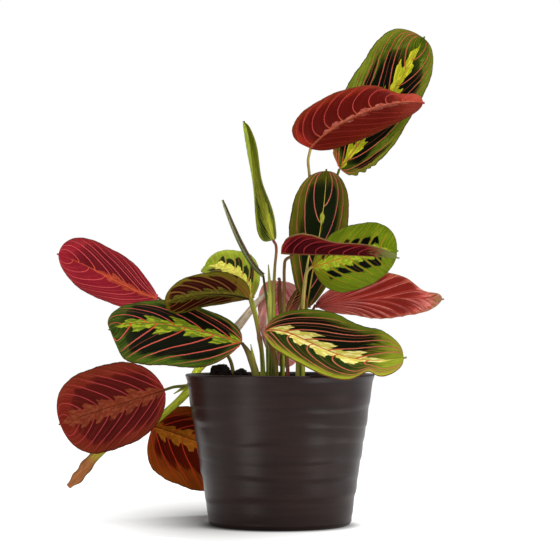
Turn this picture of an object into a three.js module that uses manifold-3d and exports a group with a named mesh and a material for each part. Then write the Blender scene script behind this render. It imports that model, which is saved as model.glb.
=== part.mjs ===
// A potted plant with broad folding leaves in a dark pot with wandering ridges.
// Millimetres, Z up. The pot's flat foot is at z = 0 with its axis on the origin,
// and the plant's front faces -Y. Each leaf blade is its own body. The stalks of one
// shoot have grown together at the foot, so each shoot is one body.
import * as THREE from 'three';
import { mergeVertices } from 'three/addons/utils/BufferGeometryUtils.js';
import Module from 'manifold-3d';

const wasm = await Module();
wasm.setup();

// Pot
const POT_HEIGHT = 116;
const POT_RIM_RADIUS = 73;
const POT_BASE_RADIUS = 54.5;
const POT_WALL = 5;
const POT_FLOOR = 7;
const POT_FOOT_EDGE = 3.5;
const POT_LIP = 1.4;
const POT_SEGMENTS = 44;
const RIDGE_HEIGHTS = [10, 24, 40, 54, 67, 80, 94];
const RIDGE_RELIEF = 0.9;
const RIDGE_WANDER = 2.2;
const RIDGE_UNDERCUT = 2.5;
const RIDGE_FADE = 13;

// Soil
const SOIL_TOP = 110;
const SOIL_GAP = 0.3;
const SOIL_SWELL = 1.1;
const SOIL_SEGMENTS = 28;
const HOLE_DEPTH = 24;
const HOLE_GAP = 0.4;
const STALK_FOOT = SOIL_TOP - HOLE_DEPTH + HOLE_GAP;

// Leaves and stalks
const BLADE_THICKNESS = 0.8;
const BLADE_ROWS = 16;
const BLADE_CROWDING = 0.75;
const BLADE_COLUMNS = 6;
const BLADE_BODY = 0.985; // the rounded outline ends here and a short point follows
const NO_PINCH = [0.5, 0, 0.1];
const BLADE_HALF_MIN = 0.5;
const STALK_SIDES = 8;

const GREEN = '#3d5a24';
const DARK_GREEN = '#2f3d1d';
const LIME = '#8fa73c';
const RED = '#7d2428';
const MAROON = '#54161c';
const SALMON = '#a3504a';
const STALK_GREEN = '#7d8542';
const STALK_BROWN = '#5a3f2c';

// Each blade: the midrib's four Bezier points, the direction the upper face looks at the
// base and at the tip, and its two halves. In a half, width is from midrib to margin and
// peak is where along the midrib it is widest; blunt rounds the outline towards base and
// tip; fold is the angle at the midrib and curl the further bend to the margin, each
// from base to tip in degrees; sweep moves the margin towards the tip; pinch narrows the
// half: where along the midrib, by which share and over what span.
const LEAVES = [
  {
    name: 'leaf_top_right',
    colour: GREEN,
    midrib: [[47, 28, 276], [67, 26, 300], [98, 36, 350], [114, 36, 381]],
    face: [[-0.35, -1, 0.15], [-0.1, -1, 0.4]],
    left: { width: 34, peak: 0.54, blunt: [3.2, 3.4], fold: [4, 4], curl: [8, 8], sweep: 0.2 },
    right: { width: 26, peak: 0.44, blunt: [2.4, 2.8], fold: [4, 4], curl: [10, 10], sweep: -0.15 },
    wave: [1.5, 2, 0.1]
  },
  {
    name: 'leaf_upper_underside',
    colour: RED,
    midrib: [[24, 14, 291], [36, 4, 307], [81, -14, 329], [110, -24, 322]],
    face: [[-0.1, 1, 0.15], [0.2, 1, 0]],
    left: { width: 19.5, peak: 0.5, blunt: [1.8, 1.4], fold: [5, 10], curl: [15, 20], sweep: 0 },
    right: {
      width: 27, peak: 0.46, blunt: [3.6, 1.5], fold: [10, 20], curl: [20, 40], sweep: -0.45,
      pinch: [0.84, 0.5, 0.1],
    },
    wave: [1, 2, 0.3]
  },
  {
    name: 'leaf_tall_dark',
    colour: DARK_GREEN,
    midrib: [[21, 14, 167], [25, 14, 200], [36, 12, 239], [36, 18, 275]],
    face: [[0.05, -1, 0.1], [0, -1, 0.2]],
    left: { width: 25, peak: 0.6, blunt: [1.6, 2.4], fold: [5, 5], curl: [8, 8], sweep: 0 },
    right: { width: 22, peak: 0.58, blunt: [1.8, 2.4], fold: [12, 12], curl: [20, 20], sweep: 0 },
    wave: [1, 2, 0]
  },
  {
    name: 'leaf_folded_maroon',
    colour: MAROON,
    midrib: [[1, -24, 209], [17, -22, 207], [53, -30, 209], [90, -36, 204]],
    face: [[-0.1, 0.2, 1], [0, 0.2, 1]],
    left: {
      width: 17, peak: 0.3, blunt: [1, 1.2], fold: [50, 60], curl: [30, 20], sweep: -0.1,
      pinch: [0.55, 0.3, 0.15],
    },
    right: {
      width: 20, peak: 0.28, blunt: [1, 1.2], fold: [35, 35], curl: [10, 10], sweep: -0.05,
      pinch: [0.55, 0.3, 0.15],
    },
    wave: [0.6, 2, 0.3]
  },
  {
    name: 'leaf_blotched_right',
    colour: LIME,
    midrib: [[25, -12, 198], [42, -4, 202], [66, 4, 214], [92, 14, 211]],
    face: [[0.2, -1, 0.15], [0.2, -1, 0.2]],
    left: { width: 23, peak: 0.6, blunt: [2.3, 3], fold: [5, 5], curl: [10, 10], sweep: 0 },
    right: { width: 28, peak: 0.45, blunt: [2.6, 2], fold: [5, 5], curl: [10, 10], sweep: 0 },
    wave: [1, 2, 0.3]
  },
  {
    name: 'leaf_front_right',
    colour: GREEN,
    midrib: [[-12, -14, 149], [15, -30, 156], [37, -64, 117], [93, -74, 130]],
    face: [[-0.1, -0.8, 0.8], [0.1, -0.8, 0.6]],
    left: { width: 31, peak: 0.46, blunt: [1.6, 2.8], fold: [5, 5], curl: [15, 15], sweep: 0.25 },
    right: {
      width: 28, peak: 0.52, blunt: [1.7, 3], fold: [5, 5], curl: [15, 15], sweep: 0.1,
      pinch: [0.83, 0.45, 0.045],
    },
    wave: [1.5, 2, 0.3]
  },
  {
    name: 'leaf_far_left',
    colour: RED,
    midrib: [[-96, 34, 175], [-120, 40, 181], [-149, 46, 202], [-177, 52, 210]],
    face: [[-0.1, 0.85, 0.5], [-0.1, 0.85, 0.5]],
    left: { width: 22, peak: 0.6, blunt: [2.2, 2.8], fold: [5, 5], curl: [10, 10], sweep: 0 },
    right: { width: 25, peak: 0.57, blunt: [2, 2.4], fold: [5, 5], curl: [10, 10], sweep: 0 },
    wave: [1, 2, 0.3]
  },
  {
    name: 'leaf_front_left',
    colour: GREEN,
    midrib: [[-29, -24, 140], [-59, -30, 150], [-107, -42, 163], [-128, -50, 150]],
    face: [[0.05, -0.75, 0.7], [-0.3, -0.75, 0.6]],
    left: { width: 35, peak: 0.54, blunt: [3.6, 3.6], fold: [-20, -10], curl: [0, 0], sweep: 0.32 },
    right: { width: 27, peak: 0.48, blunt: [3, 2.6], fold: [-6, -6], curl: [0, 0], sweep: -0.1 },
    wave: [1.5, 2, 0.3]
  },
  {
    name: 'leaf_left_dark',
    colour: MAROON,
    midrib: [[-24, -14, 174], [-44, -22, 180], [-64, -36, 178], [-87, -46, 170]],
    face: [[-0.1, 0.9, 0.4], [-0.1, 0.9, 0.4]],
    left: { width: 17, peak: 0.46, blunt: [2.4, 2.3], fold: [5, 5], curl: [10, 10], sweep: 0 },
    right: { width: 19, peak: 0.6, blunt: [2.2, 2.6], fold: [30, 20], curl: [10, 10], sweep: 0 },
    wave: [1, 2, 0.3]
  },
  {
    name: 'leaf_lime_small',
    colour: LIME,
    midrib: [[-22, 8, 174], [-26, 22, 192], [-40, 42, 203], [-61, 58, 200]],
    face: [[0.1, -0.7, 0.6], [0, -0.7, 0.9]],
    left: { width: 20, peak: 0.5, blunt: [2.6, 2.6], fold: [5, 5], curl: [10, 10], sweep: 0 },
    right: { width: 22, peak: 0.62, blunt: [1.8, 2.8], fold: [5, 5], curl: [10, 10], sweep: 0.35 },
    wave: [1, 2, 0.3]
  },
  {
    name: 'leaf_rolled_tall',
    colour: LIME,
    midrib: [[-5, 0, 219], [-11, -2, 238], [-22, -6, 276], [-28, -8, 310]],
    face: [[-0.5, -0.8, 0.2], [0.6, -0.8, 0.2]],
    left: {
      width: 15, peak: 0.35, blunt: [2.2, 1.8], fold: [30, 15], curl: [60, 125], sweep: 0,
      pinch: [0.6, 0.3, 0.2],
    },
    right: {
      width: 17, peak: 0.35, blunt: [1.6, 1.8], fold: [24, 15], curl: [55, 125], sweep: 0,
      pinch: [0.55, 0.58, 0.22],
    },
    wave: [0, 2, 0],
    columns: 10,
  },
  {
    name: 'leaf_rolled_thin',
    colour: STALK_GREEN,
    midrib: [[-13, 14, 192], [-27, 16, 202], [-36, 20, 226], [-45, 22, 251]],
    face: [[0.6, -0.8, 0.2], [0.6, -0.8, 0.2]],
    left: { width: 3.2, peak: 0.45, blunt: [1.6, 1.3], fold: [10, 10], curl: [120, 120], sweep: 0 },
    right: { width: 3.2, peak: 0.45, blunt: [1.6, 1.3], fold: [10, 10], curl: [120, 120], sweep: 0 },
    wave: [0, 2, 0],
    columns: 8,
  },
  {
    name: 'leaf_pink_back',
    colour: SALMON,
    midrib: [[-1, 36, 188], [-3, 44, 169], [2, 50, 138], [6, 50, 119]],
    face: [[0, 1, 0.1], [0, 1, -0.1]],
    left: { width: 17, peak: 0.4, blunt: [2.4, 2.2], fold: [5, 5], curl: [15, 15], sweep: 0 },
    right: { width: 20, peak: 0.4, blunt: [2.4, 2.2], fold: [5, 5], curl: [15, 15], sweep: 0 },
    wave: [1, 2, 0.3]
  },
  {
    name: 'leaf_right_salmon',
    colour: SALMON,
    midrib: [[28, 20, 169], [55, 28, 175], [92, 40, 177], [130, 50, 174]],
    face: [[-0.2, 0.8, 0.6], [-0.2, 0.8, 0.6]],
    left: { width: 24, peak: 0.62, blunt: [1.9, 2.2], fold: [5, 5], curl: [15, 15], sweep: 0 },
    right: {
      width: 21, peak: 0.55, blunt: [1.7, 1.8], fold: [5, 5], curl: [15, 15], sweep: 0,
      pinch: [0.88, 0.62, 0.13],
    },
    wave: [1.5, 2, 0.3]
  },
  {
    name: 'leaf_low_left',
    colour: MAROON,
    midrib: [[-90, 20, 103], [-117, 16, 94], [-147, 6, 86], [-170, -2, 77]],
    face: [[0.1, 1, 0.1], [0.1, 1, 0.1]],
    left: { width: 33, peak: 0.52, blunt: [2.8, 2.8], fold: [0, 0], curl: [6, 8], sweep: 0 },
    right: { width: 33, peak: 0.52, blunt: [2.4, 3], fold: [0, 0], curl: [6, 8], sweep: 0 },
    wave: [1, 2, 0.3]
  },
  {
    name: 'leaf_behind_pot',
    colour: RED,
    midrib: [[-100, 42, 74], [-79, 54, 67], [-44, 76, 51], [-20, 84, 42]],
    face: [[-0.3, 1, 0.2], [-0.3, 1, 0.2]],
    left: { width: 40, peak: 0.5, blunt: [2.7, 2.4], fold: [5, 5], curl: [10, 10], sweep: 0 },
    right: { width: 26, peak: 0.5, blunt: [2.4, 2.4], fold: [5, 5], curl: [10, 10], sweep: 0 },
    wave: [1, 2, 0.3]
  },
  {
    name: 'leaf_young_folded',
    colour: GREEN,
    midrib: [[3, 2, 157], [6, 3, 165], [11, 5, 173], [14, 8, 181]],
    face: [[0.6, -0.8, 0.2], [0.6, -0.8, 0.2]],
    left: { width: 6, peak: 0.5, blunt: [2.3, 2], fold: [30, 30], curl: [20, 20], sweep: 0 },
    right: { width: 6, peak: 0.5, blunt: [2.3, 2], fold: [30, 30], curl: [20, 20], sweep: 0 },
    wave: [0, 2, 0],
    columns: 4,
  }
];

// Each stalk runs through points [x, y, z, radius], from its foot in the soil or from
// the stalk that it grows on. A crown is the buried oval, [x, y, x radius, y radius],
// in which a shoot's stalks have grown together.
const SHOOTS = [
  {
    name: 'stem_far_left',
    colour: STALK_BROWN,
    stalks: [
      [[-36.6, 22, STALK_FOOT, 1.5], [-36.6, 22, 108, 1.5], [-36.6, 22, 117, 1.5],
        [-40.6, 23, 129.3, 1.4], [-62.7, 29, 149.5, 1.2], [-84.8, 33, 166, 1.2],
        [-95, 34, 174.3, 1]]
    ]
  },
  {
    name: 'stem_front_left',
    colour: STALK_GREEN,
    stalks: [
      [[-18.2, -22, STALK_FOOT, 3], [-18.2, -22, 108, 3], [-18.2, -22, 115, 3],
        [-22, -22, 127.7, 2.7], [-25.2, -22, 134.5, 2], [-28.1, -23.6, 138.8, 1.3]],
      [[-19, -22, 120, 2.2], [-20.8, -22.6, 131, 1.2], [-22, -22.8, 138, 0.4]]
    ]
  },
  {
    name: 'stem_left_pair',
    colour: STALK_BROWN,
    stalks: [
      [[-13, -8, STALK_FOOT, 2], [-13, -8, 108, 2], [-13, -8, 115, 2],
        [-14, -9, 132.8, 1.7], [-15.7, -10, 143.5, 2], [-16.3, -10, 146.5, 1.5]],
      [[-15.7, -10, 143, 1.4], [-19.1, -12, 158.8, 1.1], [-23, -13.7, 172.2, 1]],
      [[-15.7, -10, 143, 1.4], [-17.3, -3, 157.3, 1.1], [-21.2, 6.8, 172.4, 1]]
    ]
  },
  {
    name: 'stem_folded',
    colour: STALK_BROWN,
    stalks: [
      [[6, -11, STALK_FOOT, 1.5], [6, -11, 108, 1.5], [6, -11, 116, 1.5],
        [4.6, -8.4, 138, 1.4], [3.2, -8, 157.3, 1.3], [3.3, -12, 180.2, 1.2],
        [3.3, -18, 196.9, 1.2], [4.3, -21.6, 203, 1.2], [8.4, -23.5, 205.5, 1.2]]
    ]
  },
  {
    name: 'shoot_trailing',
    colour: STALK_GREEN,
    stalks: [
      [[-8.8, 15.4, STALK_FOOT, 2], [-8.8, 15.4, 108, 2], [-8.8, 15.4, 116, 2],
        [-9.3, 15.4, 149.6, 1.8], [-8.6, 22, 169.8, 1.6], [-10.6, 30, 177.7, 1.5],
        [-17.3, 38, 172.3, 2.2], [-33.2, 46, 152.6, 3.6], [-53.9, 50, 129.5, 3.4],
        [-65.8, 50, 116.8, 3.2], [-73.5, 45, 100.5, 3.4], [-90.4, 37, 84.3, 2.6],
        [-101.9, 32, 75.1, 2.4], [-113.3, 27, 69.8, 2.4], [-130.7, 20, 61.6, 3],
        [-140.3, 14, 55, 4], [-148.5, 10, 46, 3.8], [-155.2, 7, 36.9, 2.6],
        [-161.9, 5, 30.1, 1.4]],
      [[-71.2, 47, 106, 1.6], [-75.3, 40, 105.4, 1.4], [-82.9, 28, 105, 1.2],
        [-89.2, 20.8, 103.2, 1.1]],
      [[-72, 46, 104, 1.8], [-77, 38, 103.2, 1.3], [-82.5, 34, 100, 0.5]],
      [[-97, 34, 79, 1.8], [-99.4, 38, 75.6, 1.4], [-100.4, 41, 74.4, 1.2]]
    ]
  },
  {
    name: 'shoot_centre',
    colour: STALK_GREEN,
    crown: [-2.4, 2, 8.6, 11],
    stalks: [
      [[-4.4, -2, STALK_FOOT, 2.3], [-4.6, -1, 134.3, 2.2], [-5, 0, 157.3, 1.8],
        [-4.8, 0, 179.7, 1.3], [-3.9, 0, 198.9, 1.1], [-2.8, 0, 211.2, 1.1],
        [-3.3, 0, 215.4, 1.1], [-4.6, 0, 217.6, 1.1]],
      [[-6.2, 7, STALK_FOOT, 1.8], [-6.2, 6, 134.2, 1.8], [-7.7, 6, 153.5, 1.4],
        [-10.1, 8, 172, 1.1], [-11.9, 12, 183.7, 1], [-12.8, 13.7, 190.6, 0.9]],
      [[-7, 1.6, STALK_FOOT, 2.4], [-6.6, 2, 134.2, 2.4], [-6.8, 2, 153.5, 2.3],
        [-7.4, 2, 172.7, 2.2], [-8, 3, 184.3, 1.4], [-8.9, 3, 199, 0.4]],
      [[-3.1, -6, STALK_FOOT, 2], [-3.8, -6, 126.7, 1.9], [-7.4, -9, 138.4, 1.7],
        [-11, -13, 147.2, 1.3]],
      [[2.2, 8.6, STALK_FOOT, 1.8], [2, 11, 134.1, 1.6], [1.2, 20, 157.4, 1.3],
        [0, 28, 180.9, 1.2], [-0.5, 32, 189.3, 1.2], [-0.9, 35, 189.7, 1.1]],
      [[1.8, 0, STALK_FOOT, 2], [2, 1, 134.2, 1.8], [2.6, 2, 145.8, 1.4],
        [2.9, 2, 155.6, 1]]
    ]
  },
  {
    name: 'shoot_right',
    colour: STALK_GREEN,
    crown: [15.4, 6.2, 4.6, 6],
    stalks: [
      [[16.4, 9, STALK_FOOT, 2], [17, 10, 134.1, 1.8], [18.6, 12, 151.1, 1.6],
        [20.8, 13.9, 165.6, 1.2]],
      [[17, 3, STALK_FOOT, 2], [17, 2, 141.9, 1.9], [17.7, -1, 170.4, 1.6],
        [19.2, -5, 185.7, 1.5], [20.8, -9, 194.6, 1.3], [23.7, -11.4, 197.4, 1]],
      [[19.2, -5, 184.2, 1.2], [20.9, -9, 198.7, 0.9], [22.2, -13, 207, 0.4]],
      [[17.4, 6, STALK_FOOT, 1.8], [18.6, 9, 138, 1.6], [21.7, 14, 155.8, 1.4],
        [27, 19.6, 168.1, 1]],
      [[14.6, 8.4, STALK_FOOT, 1.8], [17.9, 15, 149.6, 1.6], [25, 25, 188.6, 1.3],
        [34.4, 25, 227.7, 1.2], [42.3, 27, 262.3, 1.1], [46.2, 28, 274.6, 1]],
      [[13.4, 5, STALK_FOOT, 1.8], [14.7, 13, 149.6, 1.6], [18.7, 22, 184.7, 1.3],
        [21.9, 23, 219.8, 1.2], [23.5, 20, 258.7, 1.1], [22.8, 17, 271, 1.1],
        [21.9, 15, 281.8, 1.1], [23.5, 14.1, 289.5, 1.1]]
    ]
  }
];

// Clods of soil: centre and half sizes. The two at the left stand above the rim.
const CLODS = [
  { centre: [-45.5, -8, 114], size: [8.6, 7, 9.5] },
  { centre: [-30, -12, 112.5], size: [6.4, 6, 7.6] },
  { centre: [-54, 12, 110], size: [7, 6, 5] },
  { centre: [38, -24, 109], size: [9, 7, 5] },
  { centre: [30, 38, 109], size: [8, 9, 6] },
  { centre: [4, -46, 109], size: [10, 7, 5] }
];

const radians = THREE.MathUtils.degToRad;
const mix = THREE.MathUtils.lerp;

/** Closed geometry as a solid that can be joined and cut. */
function toSolid(geometry) {
  const bare = geometry.clone();
  bare.deleteAttribute('normal');
  bare.deleteAttribute('uv');
  const merged = mergeVertices(bare, 1e-4);
  return new wasm.Manifold(new wasm.Mesh({
    numProp: 3,
    vertProperties: Float32Array.from(merged.attributes.position.array),
    triVerts: Uint32Array.from(merged.index.array)
  }));
}

/** The geometry of a solid. */
function toGeometry(solid) {
  const mesh = solid.getMesh();
  const geometry = new THREE.BufferGeometry();
  geometry.setAttribute('position', new THREE.BufferAttribute(mesh.vertProperties, 3));
  geometry.setIndex(new THREE.BufferAttribute(mesh.triVerts, 1));
  geometry.computeVertexNormals();
  return geometry;
}

/** A named mesh in one finish. */
function part(name, geometry, color, roughness) {
  const material = new THREE.MeshStandardMaterial({ color, roughness, metalness: 0 });
  const mesh = new THREE.Mesh(geometry, material);
  mesh.name = name;
  return mesh;
}

/** Geometry with every vertex moved by a function of it. */
function displaced(geometry, move) {
  const position = geometry.attributes.position;
  const point = new THREE.Vector3();
  for (let i = 0; i < position.count; i += 1) {
    point.fromBufferAttribute(position, i);
    move(point);
    position.setXYZ(i, point.x, point.y, point.z);
  }
  return geometry;
}

/** A turned body about the Z axis from a profile of [radius, height]. */
function turned(profile, segments) {
  const points = profile.map(([radius, height]) => new THREE.Vector2(radius, height));
  const geometry = new THREE.LatheGeometry(points, segments);
  geometry.rotateX(Math.PI / 2);
  return geometry;
}

/** Height of one ridge's lower edge, which wanders round the pot. */
function ridgeHeight(index, angle) {
  const wander = Math.sin(angle + 2.1 * index) + 0.5 * Math.sin(3 * angle + 1.3 * index);
  return RIDGE_HEIGHTS[index] + RIDGE_WANDER * wander;
}

/** How far the pot's wall stands out: most at each ridge's lower edge, fading above it. */
function ridgeRelief(height, angle) {
  let relief = 0;
  for (let i = 0; i < RIDGE_HEIGHTS.length; i += 1) {
    const above = height - ridgeHeight(i, angle);
    const rise = THREE.MathUtils.smoothstep(above, -RIDGE_UNDERCUT, 0);
    const fade = 1 - THREE.MathUtils.smoothstep(above, 0, RIDGE_FADE);
    relief = Math.max(relief, rise * fade);
  }
  return RIDGE_RELIEF * (relief - 1);
}

/** Outer radius of the smooth pot at a height. */
function potRadius(height) {
  return mix(POT_BASE_RADIUS, POT_RIM_RADIUS, height / POT_HEIGHT);
}

function potBody() {
  const profile = [[0, 0], [POT_BASE_RADIUS - POT_FOOT_EDGE, 0]];
  profile.push([POT_BASE_RADIUS - POT_FOOT_EDGE * 0.3, POT_FOOT_EDGE * 0.3]);
  const steps = 20;
  for (let i = 0; i <= steps; i += 1) {
    const height = mix(POT_FOOT_EDGE, POT_HEIGHT - POT_LIP, i / steps);
    profile.push([potRadius(height), height]);
  }
  const rim = potRadius(POT_HEIGHT);
  profile.push([rim - 0.4, POT_HEIGHT - 0.4]);
  profile.push([rim - POT_LIP, POT_HEIGHT]);
  profile.push([rim - POT_WALL + POT_LIP, POT_HEIGHT]);
  profile.push([potRadius(POT_HEIGHT - POT_LIP) - POT_WALL, POT_HEIGHT - POT_LIP]);
  profile.push([potRadius(SOIL_TOP / 2) - POT_WALL, SOIL_TOP / 2]);
  profile.push([potRadius(POT_FLOOR) - POT_WALL, POT_FLOOR]);
  profile.push([0, POT_FLOOR]);
  return displaced(turned(profile, POT_SEGMENTS), (point) => {
    const radius = Math.hypot(point.x, point.y);
    const inWall = point.z > POT_FOOT_EDGE * 0.9 && point.z < POT_HEIGHT - POT_LIP * 0.9;
    if (!inWall || radius < potRadius(point.z) - 1) {
      return;
    }
    const angle = Math.atan2(point.y, point.x);
    const ends = Math.min(1, (point.z - POT_FOOT_EDGE) / 5, (POT_HEIGHT - POT_LIP - point.z) / 4);
    const scale = 1 + ridgeRelief(point.z, angle) * Math.max(0, ends) / radius;
    point.x *= scale;
    point.y *= scale;
  });
}

/** Straight holes for the stalks that stand in the soil. */
function stalkHoles() {
  const holes = [];
  const add = (x, y, radiusX, radiusY, sides) => {
    const hole = new THREE.CylinderGeometry(1, 1, HOLE_DEPTH + 20, sides);
    hole.rotateX(Math.PI / 2);
    hole.scale(radiusX + HOLE_GAP, radiusY + HOLE_GAP, 1);
    hole.translate(x, y, SOIL_TOP - HOLE_DEPTH + (HOLE_DEPTH + 20) / 2);
    holes.push(toSolid(hole));
  };
  for (const shoot of SHOOTS) {
    if (shoot.crown) {
      const [x, y, radiusX, radiusY] = shoot.crown;
      add(x, y, radiusX, radiusY, 24);
      continue;
    }
    for (const stalk of shoot.stalks) {
      const [x, y, z, radius] = stalk[0];
      if (z === STALK_FOOT) {
        add(x, y, radius, radius, STALK_SIDES * 2);
      }
    }
  }
  return holes;
}

function soilBody() {
  const inner = (height) => potRadius(height) - POT_WALL - SOIL_GAP;
  const profile = [[0, POT_FLOOR + SOIL_GAP], [inner(POT_FLOOR), POT_FLOOR + SOIL_GAP]];
  profile.push([inner(SOIL_TOP / 2), SOIL_TOP / 2]);
  profile.push([inner(SOIL_TOP - 2), SOIL_TOP - 2]);
  for (const radius of [60, 44, 26]) {
    profile.push([radius, SOIL_TOP]);
  }
  profile.push([0, SOIL_TOP]);
  const bed = displaced(turned(profile, SOIL_SEGMENTS), (point) => {
    const radius = Math.hypot(point.x, point.y);
    if (point.z > SOIL_TOP - 1 && radius > 1) {
      point.z += SOIL_SWELL * Math.sin(point.x * 0.16 + 1) * Math.cos(point.y * 0.13);
    }
  });
  let soil = toSolid(bed);
  CLODS.forEach(({ centre, size }, index) => {
    const clod = new THREE.IcosahedronGeometry(1, 1);
    displaced(clod, (point) => {
      point.multiplyScalar(1 + 0.1 * Math.sin(5 * point.x + 4 * point.y + 6 * point.z + index));
    });
    clod.scale(...size);
    clod.translate(...centre);
    soil = soil.add(toSolid(clod));
  });
  for (const hole of stalkHoles()) {
    soil = soil.subtract(hole);
  }
  return toGeometry(soil);
}

/** Share of the half width at a place along the midrib: rounded, with a short point. */
function outline(along, { peak, blunt, pinch = NO_PINCH }) {
  const body = THREE.MathUtils.clamp(along / BLADE_BODY, 0, 1);
  const even = body ** (Math.log(0.5) / Math.log(peak / BLADE_BODY));
  const power = even < 0.5 ? blunt[0] : blunt[1];
  const round = Math.sqrt(Math.max(0, 1 - Math.abs(2 * even - 1) ** power));
  const [place, depth, span] = pinch;
  const narrow = 1 - depth * Math.exp(-(((along - place) / span) ** 2));
  const point = THREE.MathUtils.clamp(1.5 * (1 - along), 0, 0.12);
  return Math.max(round * narrow, point);
}

/** A point of a blade: across from -1 to 1, along from 0 to 1, depth below the upper face. */
function bladePoint(leaf, across, along, depth) {
  const curve = new THREE.CubicBezierCurve3(...leaf.midrib.map((p) => new THREE.Vector3(...p)));
  const centre = curve.getPoint(along);
  const tangent = curve.getTangent(along);
  const [faceBase, faceTip] = leaf.face.map((p) => new THREE.Vector3(...p).normalize());
  const normal = faceBase.lerp(faceTip, along);
  normal.addScaledVector(tangent, -normal.dot(tangent)).normalize();
  const side = tangent.clone().cross(normal);
  const sign = across < 0 ? -1 : 1;
  const half = across < 0 ? leaf.left : leaf.right;
  const reach = Math.abs(across);
  const width = Math.max(BLADE_HALF_MIN, half.width * outline(along, half));
  const fold = radians(mix(...half.fold, along));
  const curl = radians(mix(...half.curl, along)) || 1e-3;
  const out = (width / curl) * (Math.sin(fold + curl * reach) - Math.sin(fold));
  const [height, count, phase] = leaf.wave;
  const turn = 2 * Math.PI * (count * along + phase) + (sign > 0 ? 0 : 1.7);
  const wave = height * reach ** 2 * Math.sin(turn) * Math.sin(Math.PI * along);
  const up = (width / curl) * (Math.cos(fold) - Math.cos(fold + curl * reach)) + wave;
  const tilt = across === 0
    ? (fold - radians(mix(...leaf.left.fold, along))) / 2
    : sign * (fold + curl * reach);
  return centre
    .addScaledVector(side, sign * out + depth * Math.sin(tilt))
    .addScaledVector(normal, up - depth * Math.cos(tilt))
    .addScaledVector(tangent, half.sweep * out);
}

/** Rows stand closer together towards both ends of a blade, where its outline turns. */
function crowded(share) {
  return share - (BLADE_CROWDING / (2 * Math.PI)) * Math.sin(2 * Math.PI * share);
}

/** The directed edges of a grid that only one of its triangles uses. */
function rimEdges(index) {
  const edges = new Map();
  for (let i = 0; i < index.length; i += 3) {
    for (let k = 0; k < 3; k += 1) {
      const from = index[i + k];
      const to = index[i + ((k + 1) % 3)];
      edges.set(`${from} ${to}`, [from, to]);
    }
  }
  return [...edges.values()].filter(([from, to]) => !edges.has(`${to} ${from}`));
}

/** A blade: a grid for the upper face, its copy below split alike, and the rim between. */
function bladeBody(leaf) {
  const sheet = new THREE.PlaneGeometry(2, 1, leaf.columns ?? BLADE_COLUMNS, BLADE_ROWS);
  const grid = sheet.attributes.position;
  const upper = Array.from(sheet.index.array);
  const count = grid.count;
  const points = [];
  for (const depth of [0, BLADE_THICKNESS]) {
    for (let i = 0; i < count; i += 1) {
      const across = Math.abs(grid.getX(i)) < 1e-9 ? 0 : grid.getX(i);
      points.push(bladePoint(leaf, across, crowded(grid.getY(i) + 0.5), depth));
    }
  }
  const index = [...upper];
  for (let i = 0; i < upper.length; i += 3) {
    index.push(upper[i] + count, upper[i + 2] + count, upper[i + 1] + count);
  }
  for (const [from, to] of rimEdges(upper)) {
    index.push(to, from, from + count);
    index.push(to, from + count, to + count);
  }
  const geometry = new THREE.BufferGeometry().setFromPoints(points);
  geometry.setIndex(index);
  geometry.computeVertexNormals();
  return geometry;
}

/** A round stalk through points [x, y, z, radius]: a cylinder bent along a smooth curve. */
function stalkBody(stalk) {
  const points = stalk.map(([x, y, z]) => new THREE.Vector3(x, y, z));
  const curve = new THREE.CatmullRomCurve3(points, false, 'centripetal');
  const steps = Math.max(3, Math.ceil(1.6 * (stalk.length - 1)));
  const frames = curve.computeFrenetFrames(steps, false);
  const marks = [0];
  for (let i = 1; i < points.length; i += 1) {
    marks.push(marks[i - 1] + points[i].distanceTo(points[i - 1]));
  }
  const radiusAt = (share) => {
    const mark = share * marks[marks.length - 1];
    const next = Math.max(1, marks.findIndex((value) => value >= mark - 1e-9));
    const local = (mark - marks[next - 1]) / (marks[next] - marks[next - 1]);
    return mix(stalk[next - 1][3], stalk[next][3], local);
  };
  const tube = new THREE.CylinderGeometry(1, 1, 1, STALK_SIDES, steps);
  return displaced(tube, (point) => {
    const ring = Math.round((point.y + 0.5) * steps);
    const radius = radiusAt(ring / steps);
    const { x, z } = point;
    point.copy(curve.getPointAt(ring / steps));
    point.addScaledVector(frames.normals[ring], radius * x);
    point.addScaledVector(frames.binormals[ring], -radius * z);
  });
}

/** All the stalks of a shoot and its crown as one body. */
function shootBody(shoot) {
  let body = null;
  if (shoot.crown) {
    const [x, y, radiusX, radiusY] = shoot.crown;
    const crown = new THREE.CylinderGeometry(1, 1, HOLE_DEPTH - 2, 24);
    crown.rotateX(Math.PI / 2);
    crown.scale(radiusX, radiusY, 1);
    crown.translate(x, y, STALK_FOOT + (HOLE_DEPTH - 2) / 2);
    body = toSolid(crown);
  }
  for (const stalk of shoot.stalks) {
    const solid = toSolid(stalkBody(stalk));
    body = body ? body.add(solid) : solid;
  }
  return toGeometry(body);
}

const plant = new THREE.Group();
plant.add(part('pot', potBody(), '#2b2422', 0.38));
plant.add(part('soil', soilBody(), '#1f1713', 0.95));
for (const leaf of LEAVES) {
  plant.add(part(leaf.name, bladeBody(leaf), leaf.colour, 0.5));
}
for (const shoot of SHOOTS) {
  plant.add(part(shoot.name, shootBody(shoot), shoot.colour, 0.6));
}

export default plant;
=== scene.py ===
"""A prayer plant with pink veins in a dark ridged pot.

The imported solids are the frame. Every piece stands where the solid that it replaces
stands, with Z up, the pot's foot on z = 0, its axis on the origin and the plant's front
facing -Y. The plant's sizes are written in millimetres and its meshes are in metres, as
are the studio's sizes.
"""

import logging
import math
import random
from collections.abc import Sequence
from dataclasses import dataclass, replace
from enum import Enum

import bmesh
import bpy
import numpy as np
from mathutils import Matrix, Vector, noise
from mathutils.geometry import interpolate_bezier


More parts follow.
